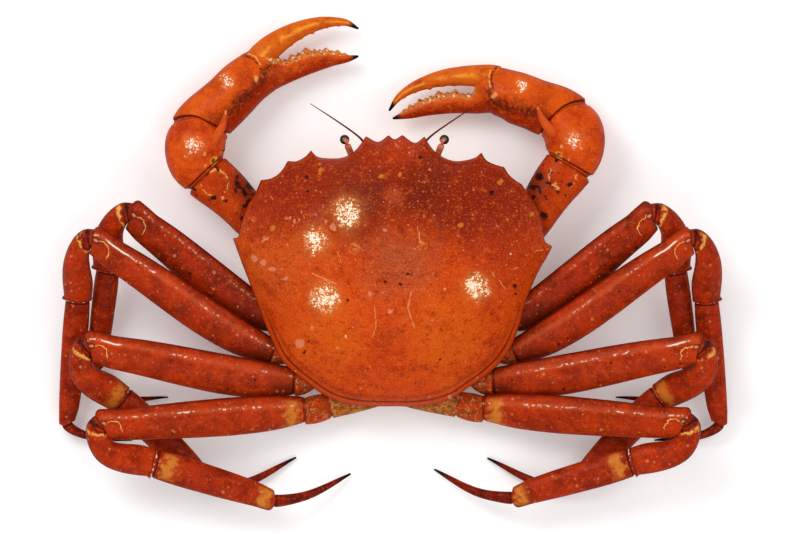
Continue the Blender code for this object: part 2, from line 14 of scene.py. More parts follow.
import bmesh
import bpy
import numpy as np
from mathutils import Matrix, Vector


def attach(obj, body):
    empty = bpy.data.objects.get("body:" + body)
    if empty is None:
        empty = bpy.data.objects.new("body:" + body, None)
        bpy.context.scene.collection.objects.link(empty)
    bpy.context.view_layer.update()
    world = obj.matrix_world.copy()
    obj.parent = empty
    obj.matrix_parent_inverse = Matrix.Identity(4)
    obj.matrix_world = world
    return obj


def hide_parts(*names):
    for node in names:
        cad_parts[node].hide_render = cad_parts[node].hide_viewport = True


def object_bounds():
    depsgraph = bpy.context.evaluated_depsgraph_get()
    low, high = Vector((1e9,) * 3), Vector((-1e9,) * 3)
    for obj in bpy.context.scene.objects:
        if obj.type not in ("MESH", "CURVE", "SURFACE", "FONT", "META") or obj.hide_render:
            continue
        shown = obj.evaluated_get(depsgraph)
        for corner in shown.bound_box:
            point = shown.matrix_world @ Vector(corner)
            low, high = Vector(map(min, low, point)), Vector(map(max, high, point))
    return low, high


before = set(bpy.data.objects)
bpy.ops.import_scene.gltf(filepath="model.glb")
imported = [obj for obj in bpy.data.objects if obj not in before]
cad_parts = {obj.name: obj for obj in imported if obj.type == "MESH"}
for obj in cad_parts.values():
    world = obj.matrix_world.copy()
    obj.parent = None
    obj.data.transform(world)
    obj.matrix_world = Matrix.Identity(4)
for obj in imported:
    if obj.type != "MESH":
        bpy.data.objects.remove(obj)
packed_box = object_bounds()

log = logging.getLogger("crab")

MM = 0.001
# Brings the middle of the whole crab, limbs included, over the origin
SHIFT = np.array((0.59, -0.23, 0.0))

# The widest line of the carapace lies in a plane that rises towards the front
RIM_HEIGHT = 32.0
RIM_SLOPE = 0.105
DOME_HEIGHT = 30.0
# Powers of the section from the middle to the rim
DOME_POWERS = (2.4, 0.72)
SHELL_DEPTH = 3.0
# Share of the way to the rim from which the teeth grow, the power of their growth, and how
# rows crowd towards the rim
TOOTH_START = 0.8
TOOTH_POWER = 1.5
ROW_CROWDING = 1.7
# Underside of the shield: places along it, the size of the outline and the depth there
UNDER_PLACES = (0.0, 0.4, 0.6, 1.0)
UNDER_SIZES = (1.0, 0.985, 0.95, 0.0)
UNDER_DEPTHS = (0.0, 2.4, SHELL_DEPTH, SHELL_DEPTH)
DOME_CENTRE = np.array((0.0, -3.0))

FRONT_NOTCH = (0.0, 58.7)
REAR_MIDDLE = (0.0, -66.8)
LEFT_OUTLINE = (
    (2.8, 60.6), (7.7, 57.5), (13.4, 60.1), (16.5, 55.6), (20.0, 52.1), (24.5, 50.1), (30.0, 49.7),
    (36.0, 50.5), (39.2, 53.5), (41.8, 50.6), (46.0, 48.4), (50.1, 48.5), (53.4, 43.4), (57.7, 40.4),
    (62.7, 39.5), (65.2, 33.8), (68.5, 28.5), (70.8, 23.0), (72.3, 17.0), (73.4, 12.9), (75.9, 12.3),
    (74.3, 7.7), (71.3, -0.5), (67.8, -9.5), (64.1, -19.3), (60.6, -28.6), (57.0, -37.3), (52.8, -45.5),
    (46.6, -51.5), (40.3, -56.4), (33.0, -61.6), (25.0, -65.0), (16.8, -66.4), (8.4, -66.8),
)
RIGHT_OUTLINE = (
    (3.7, 60.7), (9.5, 57.0), (14.1, 60.0), (16.6, 55.8), (19.5, 52.6), (24.2, 49.6), (29.8, 48.4),
    (37.2, 49.8), (40.8, 52.4), (43.2, 48.8), (47.3, 46.8), (51.5, 45.6), (53.8, 42.0), (56.8, 39.4),
    (59.6, 37.7), (62.6, 33.4), (65.4, 29.4), (68.1, 23.8), (69.9, 14.7), (70.9, 10.6), (74.2, 8.4),
    (71.2, 2.6), (68.6, -1.6), (65.0, -9.2), (61.3, -18.9), (58.6, -29.0), (54.6, -39.2), (49.0, -47.0),
    (41.8, -53.4), (35.2, -57.7), (29.4, -61.8), (23.4, -64.4), (15.8, -66.2), (7.8, -66.8),
)
# Places of the pointed teeth in each half outline
TOOTH_TIPS = (0, 2, 8, 11, 14, 20)
# Swellings and grooves of the carapace: outward, forward, radii, height; each on both sides
REGIONS = (
    (9.0, 26.0, 13.0, 15.0, 1.4),
    (0.0, -24.0, 11.0, 12.0, 1.3),
    (38.0, -16.0, 20.0, 24.0, 1.6),
    (40.0, 24.0, 15.0, 9.0, 1.3),
    (24.0, 6.0, 4.5, 15.0, -1.4),
    (34.0, 10.0, 13.0, 3.5, -0.9),
    (13.0, -20.0, 3.2, 11.0, -1.2),
)
REGION_FADE = 0.9

# Rings of the thorax from the carapace down to the sternum: size, height, forward slope
THORAX_RINGS = (
    (0.93, 28.7, RIM_SLOPE), (0.90, 26.0, RIM_SLOPE), (0.64, 19.0, 0.05),
    (0.58, 8.0, 0.0), (0.53, 2.0, 0.0), (0.50, 0.0, 0.0),
)
# Tail flap folded under the body: forward, height, half width
FLAP = (
    (12.0, 1.6, 3.2), (2.0, 1.6, 6.0), (-16.0, 1.6, 9.0), (-37.0, 1.6, 13.0),
    (-44.5, 4.4, 14.5), (-50.5, 10.5, 15.5), (-55.5, 18.0, 16.0),
)
FLAP_HALF_DEPTH = 1.6
# Below 1 the flap's section is nearly a box
FLAP_POWER = 0.6

# Walking legs: outward and forward of hip, leg root, knee, bend, wrist, foot joint, foot bend, tip
LEFT_LEGS = (
    (
        (37.4, -16.0), (58.2, -25.6), (124.6, 23.0), (132.4, 14.0), (134.9, -3.1), (140.9, -50.6),
        (128.5, -62.6), (106.5, -62.7),
    ),
    (
        (36.0, -30.9), (58.5, -41.0), (142.2, 11.0), (147.8, 1.5), (149.0, -17.2), (154.0, -75.4),
        (144.0, -81.0), (123.4, -83.0),
    ),
    (
        (31.7, -42.5), (48.4, -55.2), (144.0, -39.4), (144.0, -51.6), (128.4, -64.0), (89.4, -101.8),
        (73.0, -104.0), (46.2, -91.0),
    ),
    (
        (19.5, -62.0), (43.4, -68.4), (138.2, -76.2), (133.6, -87.6), (112.1, -93.8), (56.2, -111.0),
        (40.5, -108.6), (20.4, -98.7),
    ),
)
RIGHT_LEGS = (
    (
        (36.4, -16.0), (57.2, -25.6), (122.0, 22.7), (130.2, 13.6), (132.3, -3.6), (139.0, -51.1),
        (126.5, -62.6), (104.1, -62.7),
    ),
    (
        (35.0, -30.9), (57.6, -41.0), (139.8, 11.0), (145.8, 1.5), (146.8, -17.8), (152.8, -75.4),
        (143.0, -81.0), (122.4, -83.0),
    ),
    (
        (30.8, -42.5), (47.5, -55.2), (143.6, -39.9), (142.4, -51.6), (124.9, -63.0), (86.9, -101.8),
        (71.0, -104.0), (43.6, -91.3),
    ),
    (
        (18.5, -62.0), (42.9, -67.4), (137.2, -75.3), (132.8, -86.2), (110.7, -93.2), (55.2, -109.6),
        (38.6, -107.2), (18.5, -96.6),
    ),
)
LEG_HEIGHTS = (
    (14.5, 17.5, 37.0, 32.0, 20.0, 7.5, 5.0, 1.2),
    (14.5, 17.5, 46.0, 37.0, 21.0, 7.5, 5.0, 1.2),
    (13.5, 16.5, 36.5, 30.0, 20.5, 6.5, 5.0, 1.2),
    (12.0, 15.5, 34.0, 30.5, 27.0, 17.5, 11.0, 1.2),
)
# Rod that carries the last coxa behind the body: outward, forward, height, half width, half depth
REAR_HIP = ((24.0, -38.0, 13.0, 6.5, 5.0), (24.0, -51.0, 13.5, 6.5, 5.0), (23.0, -63.0, 13.5, 6.0, 4.6))
LEG_SCALES = (1.16, 1.08, 1.16, 1.1)
FOOT_SCALES = (0.92, 0.97, 1.16, 1.15)
# Extra half width at the rear of the first two articles of each leg
HIP_REAR = (0.0, 0.5, 2.2, 2.6)
# Tilt of the flattened leg sections in degrees, front edge up, at the same eight places
LEG_TILTS = (30.0, 30.0, 14.0, 8.0, 4.0, 0.0, 0.0, 0.0)
# Shares of the way back from the knee and the foot joint at which the guides stand
KNEE_GUIDE = 0.14
FOOT_GUIDE = 0.16
COXA_SHARE = 0.5
COXA_ROOT = 22.0
# Numbers of the joints among the places of a leg's path, the two guides counted
LEG_JOINTS = (1, 3, 5, 7, 9)
# The same for an arm, whose palm starts at the third joint
ARM_JOINTS = (1, 4, 8, 16)
PALM_START = ARM_JOINTS[2]
COXA_STATIONS = ((0.0, 6.4, 6.4, 4.8), (0.7, 6.6, 6.6, 4.9), (1.0, 5.8, 5.8, 4.5))
ARM_COXA_STATIONS = ((0.0, 9.0, 9.0, 7.6), (1.0, 8.4, 8.4, 7.2))
GAP = 0.3
LEG_NECK = 2.6
ARM_NECK = 3.4
# Share by which the hidden neck of an article is narrower than its first section
NECK_STEP = 0.1
NECK_FADE = 0.4
# Slant of the joint between wrist and palm, and the length over which it fades
WRIST_SKEW = 5.0
SKEW_REACH = 16.0

# Claw arms: outward, forward, height along the arm
LEFT_ARM = (
    (39.0, 4.0, 18.5), (55.7, 13.3, 19.5), (63.5, 18.3, 20.0), (78.3, 33.4, 20.5), (89.0, 43.4, 20.5),
    (93.0, 49.0, 20.0), (93.8, 56.1, 19.0), (92.4, 62.4, 18.0), (89.6, 66.8, 17.0), (79.0, 76.3, 16.0),
    (69.5, 84.5, 15.0), (60.0, 89.3, 13.5), (51.9, 91.6, 12.5), (41.6, 94.5, 12.0), (29.8, 97.0, 11.5),
    (21.4, 97.6, 11.2), (16.9, 98.0, 11.0),
)
RIGHT_ARM = (
    (39.0, 4.0, 18.5), (55.2, 11.4, 19.5), (62.3, 17.8, 20.0), (74.8, 36.6, 20.5), (82.3, 47.4, 20.5),
    (84.6, 53.7, 20.0), (84.6, 60.6, 19.0), (81.8, 66.8, 18.0), (76.9, 70.8, 17.0), (67.4, 74.4, 16.0),
    (55.3, 78.8, 15.0), (45.4, 79.0, 13.5), (37.8, 76.6, 12.5), (26.6, 76.0, 12.0), (15.7, 74.0, 11.5),
    (6.8, 71.0, 11.2), (-0.9, 68.6, 11.0),
)
# Half width towards the body, half width away from it, half depth at the last nine places
LEFT_PALM = (
    (12.8, 14.0, 9.8), (12.2, 13.2, 10.5), (11.0, 13.6, 10.0), (8.8, 13.0, 8.4), (7.0, 4.8, 5.8),
    (5.6, 5.6, 4.6), (4.0, 3.4, 3.4), (2.3, 1.0, 1.7), (0.5, 0.5, 0.5),
)
RIGHT_PALM = (
    (13.2, 13.8, 9.8), (12.6, 13.0, 10.5), (12.4, 12.8, 10.0), (9.0, 13.2, 8.4), (6.0, 4.6, 5.8),
    (5.2, 4.8, 4.6), (4.2, 3.8, 3.4), (2.6, 2.4, 1.9), (0.5, 0.5, 0.5),
)
# Movable fingers: outward, forward, height, half width, half depth
LEFT_FINGER = (
    (66.6, 93.4, 14.0, 6.2, 5.6), (63.0, 97.8, 14.0, 6.4, 5.4), (57.8, 102.5, 13.8, 6.1, 5.0),
    (50.5, 107.5, 13.5, 5.1, 4.4), (42.0, 111.5, 13.2, 4.0, 3.7), (34.0, 113.7, 12.8, 3.1, 3.0),
    (28.3, 114.2, 12.5, 2.4, 2.5), (22.6, 113.7, 12.2, 1.7, 1.8), (16.9, 110.9, 12.0, 0.5, 0.5),
)
RIGHT_FINGER = (
    (50.6, 87.6, 14.0, 5.8, 5.4), (45.4, 88.4, 14.0, 5.9, 5.2), (38.6, 88.7, 13.8, 5.4, 4.8),
    (31.2, 88.6, 13.5, 4.8, 4.3), (23.6, 87.8, 13.2, 4.2, 3.7), (16.2, 86.0, 12.8, 3.5, 3.1),
    (8.2, 82.8, 12.5, 2.6, 2.5), (1.8, 78.3, 12.2, 1.7, 1.8), (-2.6, 72.2, 12.0, 0.5, 0.5),
)
# Teeth of the fixed finger and knobs of the movable one: distance from the tip, height, half width
PALM_TEETH = (
    (6.4, 0.9, 1.6), (9.6, 1.5, 1.8), (12.2, 0.8, 1.1), (14.6, 1.9, 2.0), (17.4, 1.0, 1.2),
    (19.8, 1.3, 1.3), (23.6, 2.3, 2.8), (27.4, 1.1, 1.2), (30.8, 2.0, 2.2), (34.2, 0.9, 1.2),
    (36.8, 1.1, 1.5),
)
FINGER_KNOBS = (
    (10.0, 0.3, 1.2), (16.0, 0.35, 1.2), (23.5, 0.8, 1.4), (30.0, 0.35, 1.5), (36.0, 0.3, 1.5),
)
LEFT_SPINE = ((85.6, 57.0, 25.5, 3.0), (80.9, 65.0, 29.6, 1.9), (79.0, 72.9, 31.6, 0.35))
RIGHT_SPINE = ((75.4, 60.5, 25.5, 3.0), (69.6, 68.0, 29.6, 1.9), (66.9, 75.2, 31.6, 0.35))

# Eye stalks, eyes and feelers: outward, forward, height, radius
STALK = ((20.0, 50.2, 32.4, 1.4), (20.8, 52.8, 33.4, 1.4), (22.3, 56.2, 36.4, 1.4))
EYE_CENTRE = (23.4, 58.5, 37.8)
EYE_RADIUS = 2.3
FEELER = (
    (11.8, 52.4, 30.8, 1.4), (13.4, 56.0, 32.4, 1.1), (17.2, 60.2, 35.2, 0.8), (27.0, 67.2, 39.0, 0.6),
    (39.6, 75.4, 41.0, 0.3),
)

# The shown stalks are stouter and the shown feelers thinner than the solids
STALK_SCALE = 1.2
FEELER_SCALE = 0.65

Points = np.ndarray
Rows = Sequence[Sequence[float]]
Placed = tuple[Points, Points, Points]


class Side(Enum):
    """The two halves of the crab, with the sign of their X."""

    LEFT = -1
    RIGHT = 1

    @property
    def word(self) -> str:
        """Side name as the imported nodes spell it."""
        return self.name.lower()


class Slot(Enum):
    """Material slots of the part's record."""

    CARAPACE = "carapace_shell"
    LEG = "leg_shell"
    CLAW = "claw_shell"
    BELLY = "belly_shell"
    STALK = "stalk_skin"
    EYE = "eye_surface"


def cubic(t: Points | float, span: Points | float, ends: Sequence[Points],
          slopes: Sequence[Points]) -> Points:
    """Cubic with given ends and slopes at a share t of its span."""
    return (
        (2 * t**3 - 3 * t**2 + 1) * ends[0] + (t**3 - 2 * t**2 + t) * span * slopes[0]
        + (3 * t**2 - 2 * t**3) * ends[1] + (t**3 - t**2) * span * slopes[1]
    )


def smooth_table(places: Sequence[float], values: np.ndarray, at: np.ndarray) -> np.ndarray:
    """Interpolate columns of values smoothly between their places.

    Args:
        places: Rising positions of the rows of values.
        values: One row of values for each place.
        at: Positions to read.

    Returns:
        One row for each position.
    """
    places = np.asarray(places, dtype=float)
    values = np.asarray(values, dtype=float)
    slopes = np.gradient(values, places, axis=0)
    index = np.clip(np.searchsorted(places, at, side="right") - 1, 0, len(places) - 2)
    span = places[index + 1] - places[index]
    t = np.clip((at - places[index]) / span, 0.0, 1.0)[:, None]
    return cubic(t, span[:, None], (values[index], values[index + 1]), (slopes[index], slopes[index + 1]))


def bump(distance: np.ndarray, width: float) -> np.ndarray:
    """Bell of height 1 around zero distance."""
    return np.exp(-((distance / width) ** 2))


def ease(value: np.ndarray, low: float, high: float) -> np.ndarray:
    """Smooth step from 0 at low to 1 at high."""
    t = np.clip((value - low) / (high - low), 0.0, 1.0)
    return t * t * (3 - 2 * t)


def peaks(table: Rows, distance: np.ndarray) -> np.ndarray:
    """Height of the tallest of pointed peaks, each of a place, a height and a half width."""
    swell = np.zeros_like(distance)
    for place, height, width in table:
        swell = np.maximum(swell, height * np.clip(1 - np.abs(distance - place) / width, 0.0, 1.0))
    return swell


class Path:
    """Smooth line through points, measured along its length."""

    STEPS = 24
    REACH = 0.4

    def __init__(self, points: Rows) -> None:
        points = np.array(points, dtype=float)
        steps = np.linalg.norm(np.diff(points[:, :3], axis=0), axis=1)
        knots = np.concatenate(([0.0], np.cumsum(steps)))
        slopes = np.zeros_like(points)
        for i in range(len(points)):
            before = max(i - 1, 0)
            after = min(i + 1, len(points) - 1)
            slopes[i] = (points[after] - points[before]) / (knots[after] - knots[before])
        dense = []
        for i in range(len(points) - 1):
            span = knots[i + 1] - knots[i]
            for step in range(self.STEPS):
                dense.append(cubic(step / self.STEPS, span, points[i:i + 2], slopes[i:i + 2]))
        dense.append(points[-1])
        self.dense = np.array(dense)
        lengths = np.linalg.norm(np.diff(self.dense[:, :3], axis=0), axis=1)
        self.along = np.concatenate(([0.0], np.cumsum(lengths)))

    def distance(self, index: float) -> float:
        """Length along the path at one of its points."""
        return float(self.along[round(index * self.STEPS)])

    def at(self, distance: np.ndarray) -> np.ndarray:
        """Values of the path at lengths along it, run on straight past its ends."""
        inside = np.clip(distance, 0.0, self.along[-1])
        values = np.stack([np.interp(inside, self.along, column) for column in self.dense.T], axis=1)
        values[:, :3] += (distance - inside)[:, None] * self.direction(inside)
        return values

    def direction(self, distance: np.ndarray) -> np.ndarray:
        """Unit directions of travel at lengths along the path."""
        distance = np.clip(distance, 0.0, self.along[-1])
        low = np.maximum(distance - self.REACH, 0.0)
        high = np.minimum(distance + self.REACH, self.along[-1])
        ends = [np.stack([np.interp(place, self.along, column) for column in self.dense.T[:3]], axis=1)
                for place in (low, high)]
        step = ends[1] - ends[0]
        return step / np.linalg.norm(step, axis=1)[:, None]


def put(name: str, data: bpy.types.ID) -> bpy.types.Object:
    """Object of this data in the scene."""
    item = bpy.data.objects.new(name, data)
    bpy.context.scene.collection.objects.link(item)
    return item


def write_mesh(bm: bmesh.types.BMesh, mesh: bpy.types.Mesh) -> None:
    """Shade the faces smooth and write them to the mesh."""
    for face in bm.faces:
        face.smooth = True
    bm.to_mesh(mesh)
    bm.free()


def sheet_mesh(name: str, columns: int, rows: int,
               place: Callable[[Points, Points], Placed]) -> bpy.types.Object:
    """Wrap a grid around a shape and weld its seam and poles.

    Args:
        name: Name of the new object.
        columns: Quads around.
        rows: Quads along.
        place: Takes the shares around and along of every vertex and returns its points in
            millimetres, its local coordinates and its place round the section.

    Returns:
        Smooth-shaded object with the attributes "local" and "round".
    """
    bm = bmesh.new()
    bmesh.ops.create_grid(bm, x_segments=columns, y_segments=rows, size=0.5)
    mesh = bpy.data.meshes.new(name)
    bm.to_mesh(mesh)
    bm.free()
    grid = np.empty(len(mesh.vertices) * 3)
    mesh.vertices.foreach_get("co", grid)
    grid = grid.reshape(-1, 3) + 0.5
    points, local, rounding = place(grid[:, 0], grid[:, 1])
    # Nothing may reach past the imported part
    low, high = np.array(packed_box)
    mesh.vertices.foreach_set("co", np.clip((points + SHIFT) * MM, low, high).ravel())
    for attribute, values in (("local", local), ("round", rounding)):
        mesh.attributes.new(attribute, "FLOAT_VECTOR", "POINT").data.foreach_set("vector", values.ravel())
    bm = bmesh.new()
    bm.from_mesh(mesh)
    bmesh.ops.remove_doubles(bm, verts=bm.verts, dist=1e-6)
    bmesh.ops.recalc_face_normals(bm, faces=bm.faces)
    write_mesh(bm, mesh)
    return put(name, mesh)


def dress(item: bpy.types.Object, node: str, material: bpy.types.Material) -> None:
    """Give a piece its material, hang it from the root body and hide the imported node it stands for."""
    item.data.materials.append(material)
    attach(item, "root")
    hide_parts(node)
    log.info("%s: %d faces", node, len(item.data.polygons))


@dataclass
class Article:
    """One hard article of a limb, skinned along a stretch of its path.

    Stations hold a share of the length, the half widths on both sides and the half depth.
    Round gives how many millimetres of each end curve over. Facets is the number of sides
    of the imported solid, whose corners lie on the same oval. The neck is a narrower length
    that lies inside the article before. Skew moves each end forward on the inner side and
    back on the outer side. Relief takes the distance from the end and the side and returns
    millimetres of swelling.
    """

    name: str
    path: Path
    start: float
    end: float
    stations: Rows
    side: Side
    facets: int
    round_ends: tuple[float, float] = (1.2, 1.2)
    columns: int = 48
    rows: int = 72
    neck: float = 0.0
    skew: tuple[float, float] = (0.0, 0.0)
    relief: Callable[[Points, Points], Points] | None = None
    cap_rows: int = 8

    def lengths(self) -> tuple[np.ndarray, np.ndarray]:
        """Lengths along the article of every row, and the size of the section there."""
        length = self.end - self.start
        turns = np.linspace(0.0, math.pi / 2, self.cap_rows + 1)
        first = self.round_ends[0] * (1 - np.cos(turns)) - self.neck
        last = length - self.round_ends[1] * (1 - np.cos(turns[::-1]))
        middle = np.linspace(first[-1], last[0], self.rows - 2 * self.cap_rows + 1)[1:-1]
        sizes = np.concatenate((np.sin(turns), np.ones(len(middle)), np.sin(turns[::-1])))
        return np.concatenate((first, middle, last)), sizes

    def place(self, around: Points, along: Points) -> Placed:
        """Points, local coordinates and place round the section of every vertex."""
        lengths, sizes = self.lengths()
        row = along * (len(lengths) - 1)
        index = np.arange(len(lengths))
        distance = np.interp(row, index, lengths)
        size = np.interp(row, index, sizes)
        length = self.end - self.start
        rows = np.array(self.stations)
        widths = smooth_table(rows[:, 0], rows[:, 1:], distance / length)
        angle = math.tau * around
        c = np.cos(angle)
        s = np.sin(angle)
        slant = self.skew[0] * ease(distance, SKEW_REACH, 0.0)
        slant = slant + self.skew[1] * ease(length - distance, SKEW_REACH, 0.0)
        values = self.path.at(self.start + distance + slant * c)
        travel = self.path.direction(self.start + distance + slant * c)
        across = np.cross((0.0, 0.0, 1.0), travel)
        across /= np.linalg.norm(across, axis=1)[:, None]
        upward = np.cross(travel, across)
        tilt = np.radians(values[:, 3])[:, None]
        wide = np.cos(tilt) * across + np.sin(tilt) * upward
        deep = np.cos(tilt) * upward - np.sin(tilt) * across
        swell = self.relief(length - distance, c) if self.relief else np.zeros_like(c)
        size = size * (1 - NECK_STEP * ease(distance, NECK_FADE, -NECK_FADE))
        narrow = math.cos(math.pi / self.facets)
        shallow = max(abs(math.sin(math.tau * (k + 0.5) / self.facets)) for k in range(self.facets))
        reach = np.where(c > 0, widths[:, 0], widths[:, 1]) * narrow + swell
        depth = widths[:, 2] * shallow + swell
        points = (values[:, :3] + (size * c * reach)[:, None] * wide + (size * s * depth)[:, None] * deep)
        points[:, 0] *= self.side.value
        local = np.stack((size * c * reach, distance, length - distance), axis=1)
        return points, local, np.stack((c, s, size), axis=1)

    def build(self) -> bpy.types.Object:
        """Skin the article."""
        return sheet_mesh(self.name, self.columns, self.rows, self.place)


def rod_article(name: str, line: Rows, side: Side, facets: int, **options) -> Article:
    """Article through rows of outward, forward, height, half width and half depth."""
    path = Path([(*row[:3], 0.0) for row in line])
    whole = float(path.along[-1])
    stations = []
    for index, row in enumerate(line):
        depth = row[4] if len(row) > 4 else row[3]
        stations.append((path.distance(index) / whole, row[3], row[3], depth))
    return Article(name, path, 0.0, whole, stations, side, facets, **options)


def leg_path(leg: Rows, index: int) -> Path:
    """Smooth middle line of one leg with its tilt."""
    rows = []
    for place, (x, y) in enumerate(leg):
        rows.append((x, y, LEG_HEIGHTS[index][place], LEG_TILTS[place]))
    # Two guides keep the long articles straight next to their bends
    knee_guide = (1 - KNEE_GUIDE) * np.array(rows[2]) + KNEE_GUIDE * np.array(rows[1])
    foot_guide = (1 - FOOT_GUIDE) * np.array(rows[5]) + FOOT_GUIDE * np.array(rows[4])
    rows.insert(5, tuple(foot_guide))
    rows.insert(2, tuple(knee_guide))
    return Path(rows)


def widened(stations: Rows, scale: float) -> Rows:
    """Scale the half widths of stations."""
    return tuple((share, inner * scale, outer * scale, depth) for share, inner, outer, depth in stations)


def fuller(stations: Rows, extra: float) -> Rows:
    """Add to the rear half widths of stations."""
    return tuple((share, front, rear + extra, depth) for share, front, rear, depth in stations)


class LegPart(Enum):
    """Articles of a walking leg: facets, rounded ends and stations."""

    ischium = (10, (1.0, 1.4), ((0.0, 5.6, 5.6, 4.3), (0.5, 6.3, 6.3, 4.6), (1.0, 5.7, 5.7, 4.4)))
    merus = (10, (1.6, 2.0), ((0.0, 6.6, 6.6, 4.4), (0.12, 8.4, 8.4, 4.7), (0.3, 9.2, 9.2, 5.0),
                              (0.5, 8.9, 8.9, 5.2), (0.7, 8.1, 8.1, 5.2), (0.9, 7.1, 7.1, 5.1),
                              (1.0, 6.9, 6.2, 4.9)))
    carpus = (10, (2.0, 1.2), ((0.0, 6.0, 2.4, 4.6), (0.22, 6.8, 3.4, 5.2), (0.45, 7.2, 5.2, 5.4),
                               (0.75, 7.0, 6.8, 5.1), (1.0, 6.2, 6.2, 4.7)))
    propodus = (10, (1.0, 2.0), ((0.0, 6.2, 6.2, 4.5), (0.12, 6.5, 6.5, 4.6), (0.45, 6.3, 6.3, 4.4),
                                 (0.8, 5.4, 5.4, 3.9), (1.0, 4.7, 4.2, 3.5)))
    dactyl = (8, (1.5, 0.4), ((0.0, 3.2, 2.5, 2.9), (0.2, 2.4, 2.3, 2.4), (0.5, 1.8, 1.8, 1.8),
                              (0.8, 1.1, 1.1, 1.1), (1.0, 0.4, 0.4, 0.4)))


@dataclass
class Leg:
    """One walking leg of five articles."""

    side: Side
    index: int
    places: Rows
    scales: tuple[float, ...] = field(init=False)

    def __post_init__(self) -> None:
        upper = LEG_SCALES[self.index]
        lower = FOOT_SCALES[self.index]
        self.scales = (1.0, upper, upper, lower, lower)

    def build(self, finishes: "Finishes") -> None:
        """Skin and dress every article."""
        path = leg_path(self.places, self.index)
        marks = [COXA_SHARE * path.distance(1)]
        marks += [path.distance(joint) for joint in LEG_JOINTS]
        for number, part in enumerate(LegPart):
            facets, ends, stations = part.value
            stations = widened(stations, self.scales[number])
            if part is LegPart.ischium:
                stations = fuller(stations, HIP_REAR[self.index])
            node = f"{self.side.word}_leg_{self.index + 1}_{part.name}"
            article = Article(
                f"{node}_shell", path, marks[number] + GAP / 2, marks[number + 1] - GAP / 2,
                stations, self.side, facets, ends, neck=LEG_NECK,
                relief=self.rim if part in (LegPart.merus, LegPart.carpus) else None,
            )
            dress(article.build(), node, finishes.leg(part, self.index))

    @staticmethod
    def rim(from_end: Points, side: Points) -> Points:
        """Flared rim over the next joint with a small point at its front corner."""
        flare = 0.2 * bump(from_end - 0.9, 1.0)
        return flare + 0.8 * bump(from_end - 1.0, 0.9) * ease(side, 0.85, 1.0)


class ArmPart(Enum):
    """Articles of a claw arm before the palm: facets, rounded ends and stations."""

    ischium = (12, (1.5, 1.5), ((0.0, 7.6, 7.6, 6.8), (0.5, 8.4, 8.4, 7.4), (1.0, 8.2, 8.2, 7.2)))
    merus = (12, (1.5, 2.5), ((0.0, 8.4, 8.4, 7.4), (0.2, 9.8, 9.8, 8.4), (0.5, 10.6, 10.6, 9.0),
                              (0.8, 11.6, 12.2, 9.0), (1.0, 11.7, 13.2, 8.4)))
    carpus = (14, (3.0, 1.6), ((0.0, 12.8, 12.6, 8.8), (0.15, 13.8, 13.6, 10.6),
                               (0.35, 14.4, 14.4, 12.0), (0.6, 14.6, 14.6, 12.2),
                               (0.85, 13.9, 13.9, 11.4), (1.0, 12.6, 12.6, 10.4)))


@dataclass
class ClawArm:
    """One claw arm with its palm, fingers and wrist spine."""

    side: Side
    places: Rows
    palm: Rows
    finger: Rows
    spine: Rows

    def build(self, finishes: "Finishes") -> None:
        """Skin and dress every article."""
        path = Path([(*place, 0.0) for place in self.places])
        marks = [COXA_SHARE * path.distance(1)]
        marks += [path.distance(joint) for joint in ARM_JOINTS]
        word = self.side.word
        for number, part in enumerate(ArmPart):
            facets, ends, stations = part.value
            node = f"{word}_arm_{part.name}"
            article = Article(f"{node}_shell", path, marks[number] + GAP / 2, marks[number + 1] - GAP / 2,
                              stations, self.side, facets, ends, columns=80, rows=96, neck=ARM_NECK,
                              skew=(0.0, WRIST_SKEW if part is ArmPart.carpus else 0.0))
            dress(article.build(), node, finishes.arm[part])
        spine = rod_article(f"{word}_wrist_spine", self.spine, self.side, 8, columns=24, rows=40)
        dress(spine.build(), f"{word}_arm_carpus", finishes.spine)
        start = path.distance(PALM_START)
        whole = float(path.along[-1]) - start
        stations = []
        for index, row in enumerate(self.palm):
            share = (path.distance(PALM_START + index) - start) / whole
            stations.append((share, *row))
        palm = Article(f"{word}_palm_shell", path, marks[3] + GAP / 2, marks[4], stations, self.side, 12,
                       (1.2, 0.4), columns=120, rows=300, neck=ARM_NECK, skew=(WRIST_SKEW, 0.0),
                       relief=self.biting_edge)
        dress(palm.build(), f"{word}_palm", finishes.palm)
        finger = rod_article(f"{word}_finger_shell", self.finger, self.side, 10, round_ends=(2.0, 0.4),
                             columns=72, rows=200, relief=self.finger_knobs)
        dress(finger.build(), f"{word}_finger", finishes.finger)

    @staticmethod
    def biting_edge(from_end: Points, side: Points) -> Points:
        """Uneven teeth along the inner edge of the fixed finger."""
        return peaks(PALM_TEETH, from_end) * ease(-side, 0.45, 1.0)

    @staticmethod
    def finger_knobs(from_end: Points, side: Points) -> Points:
        """Low knobs along the inner edge of the movable finger."""
        return peaks(FINGER_KNOBS, from_end) * ease(side, 0.6, 1.0)


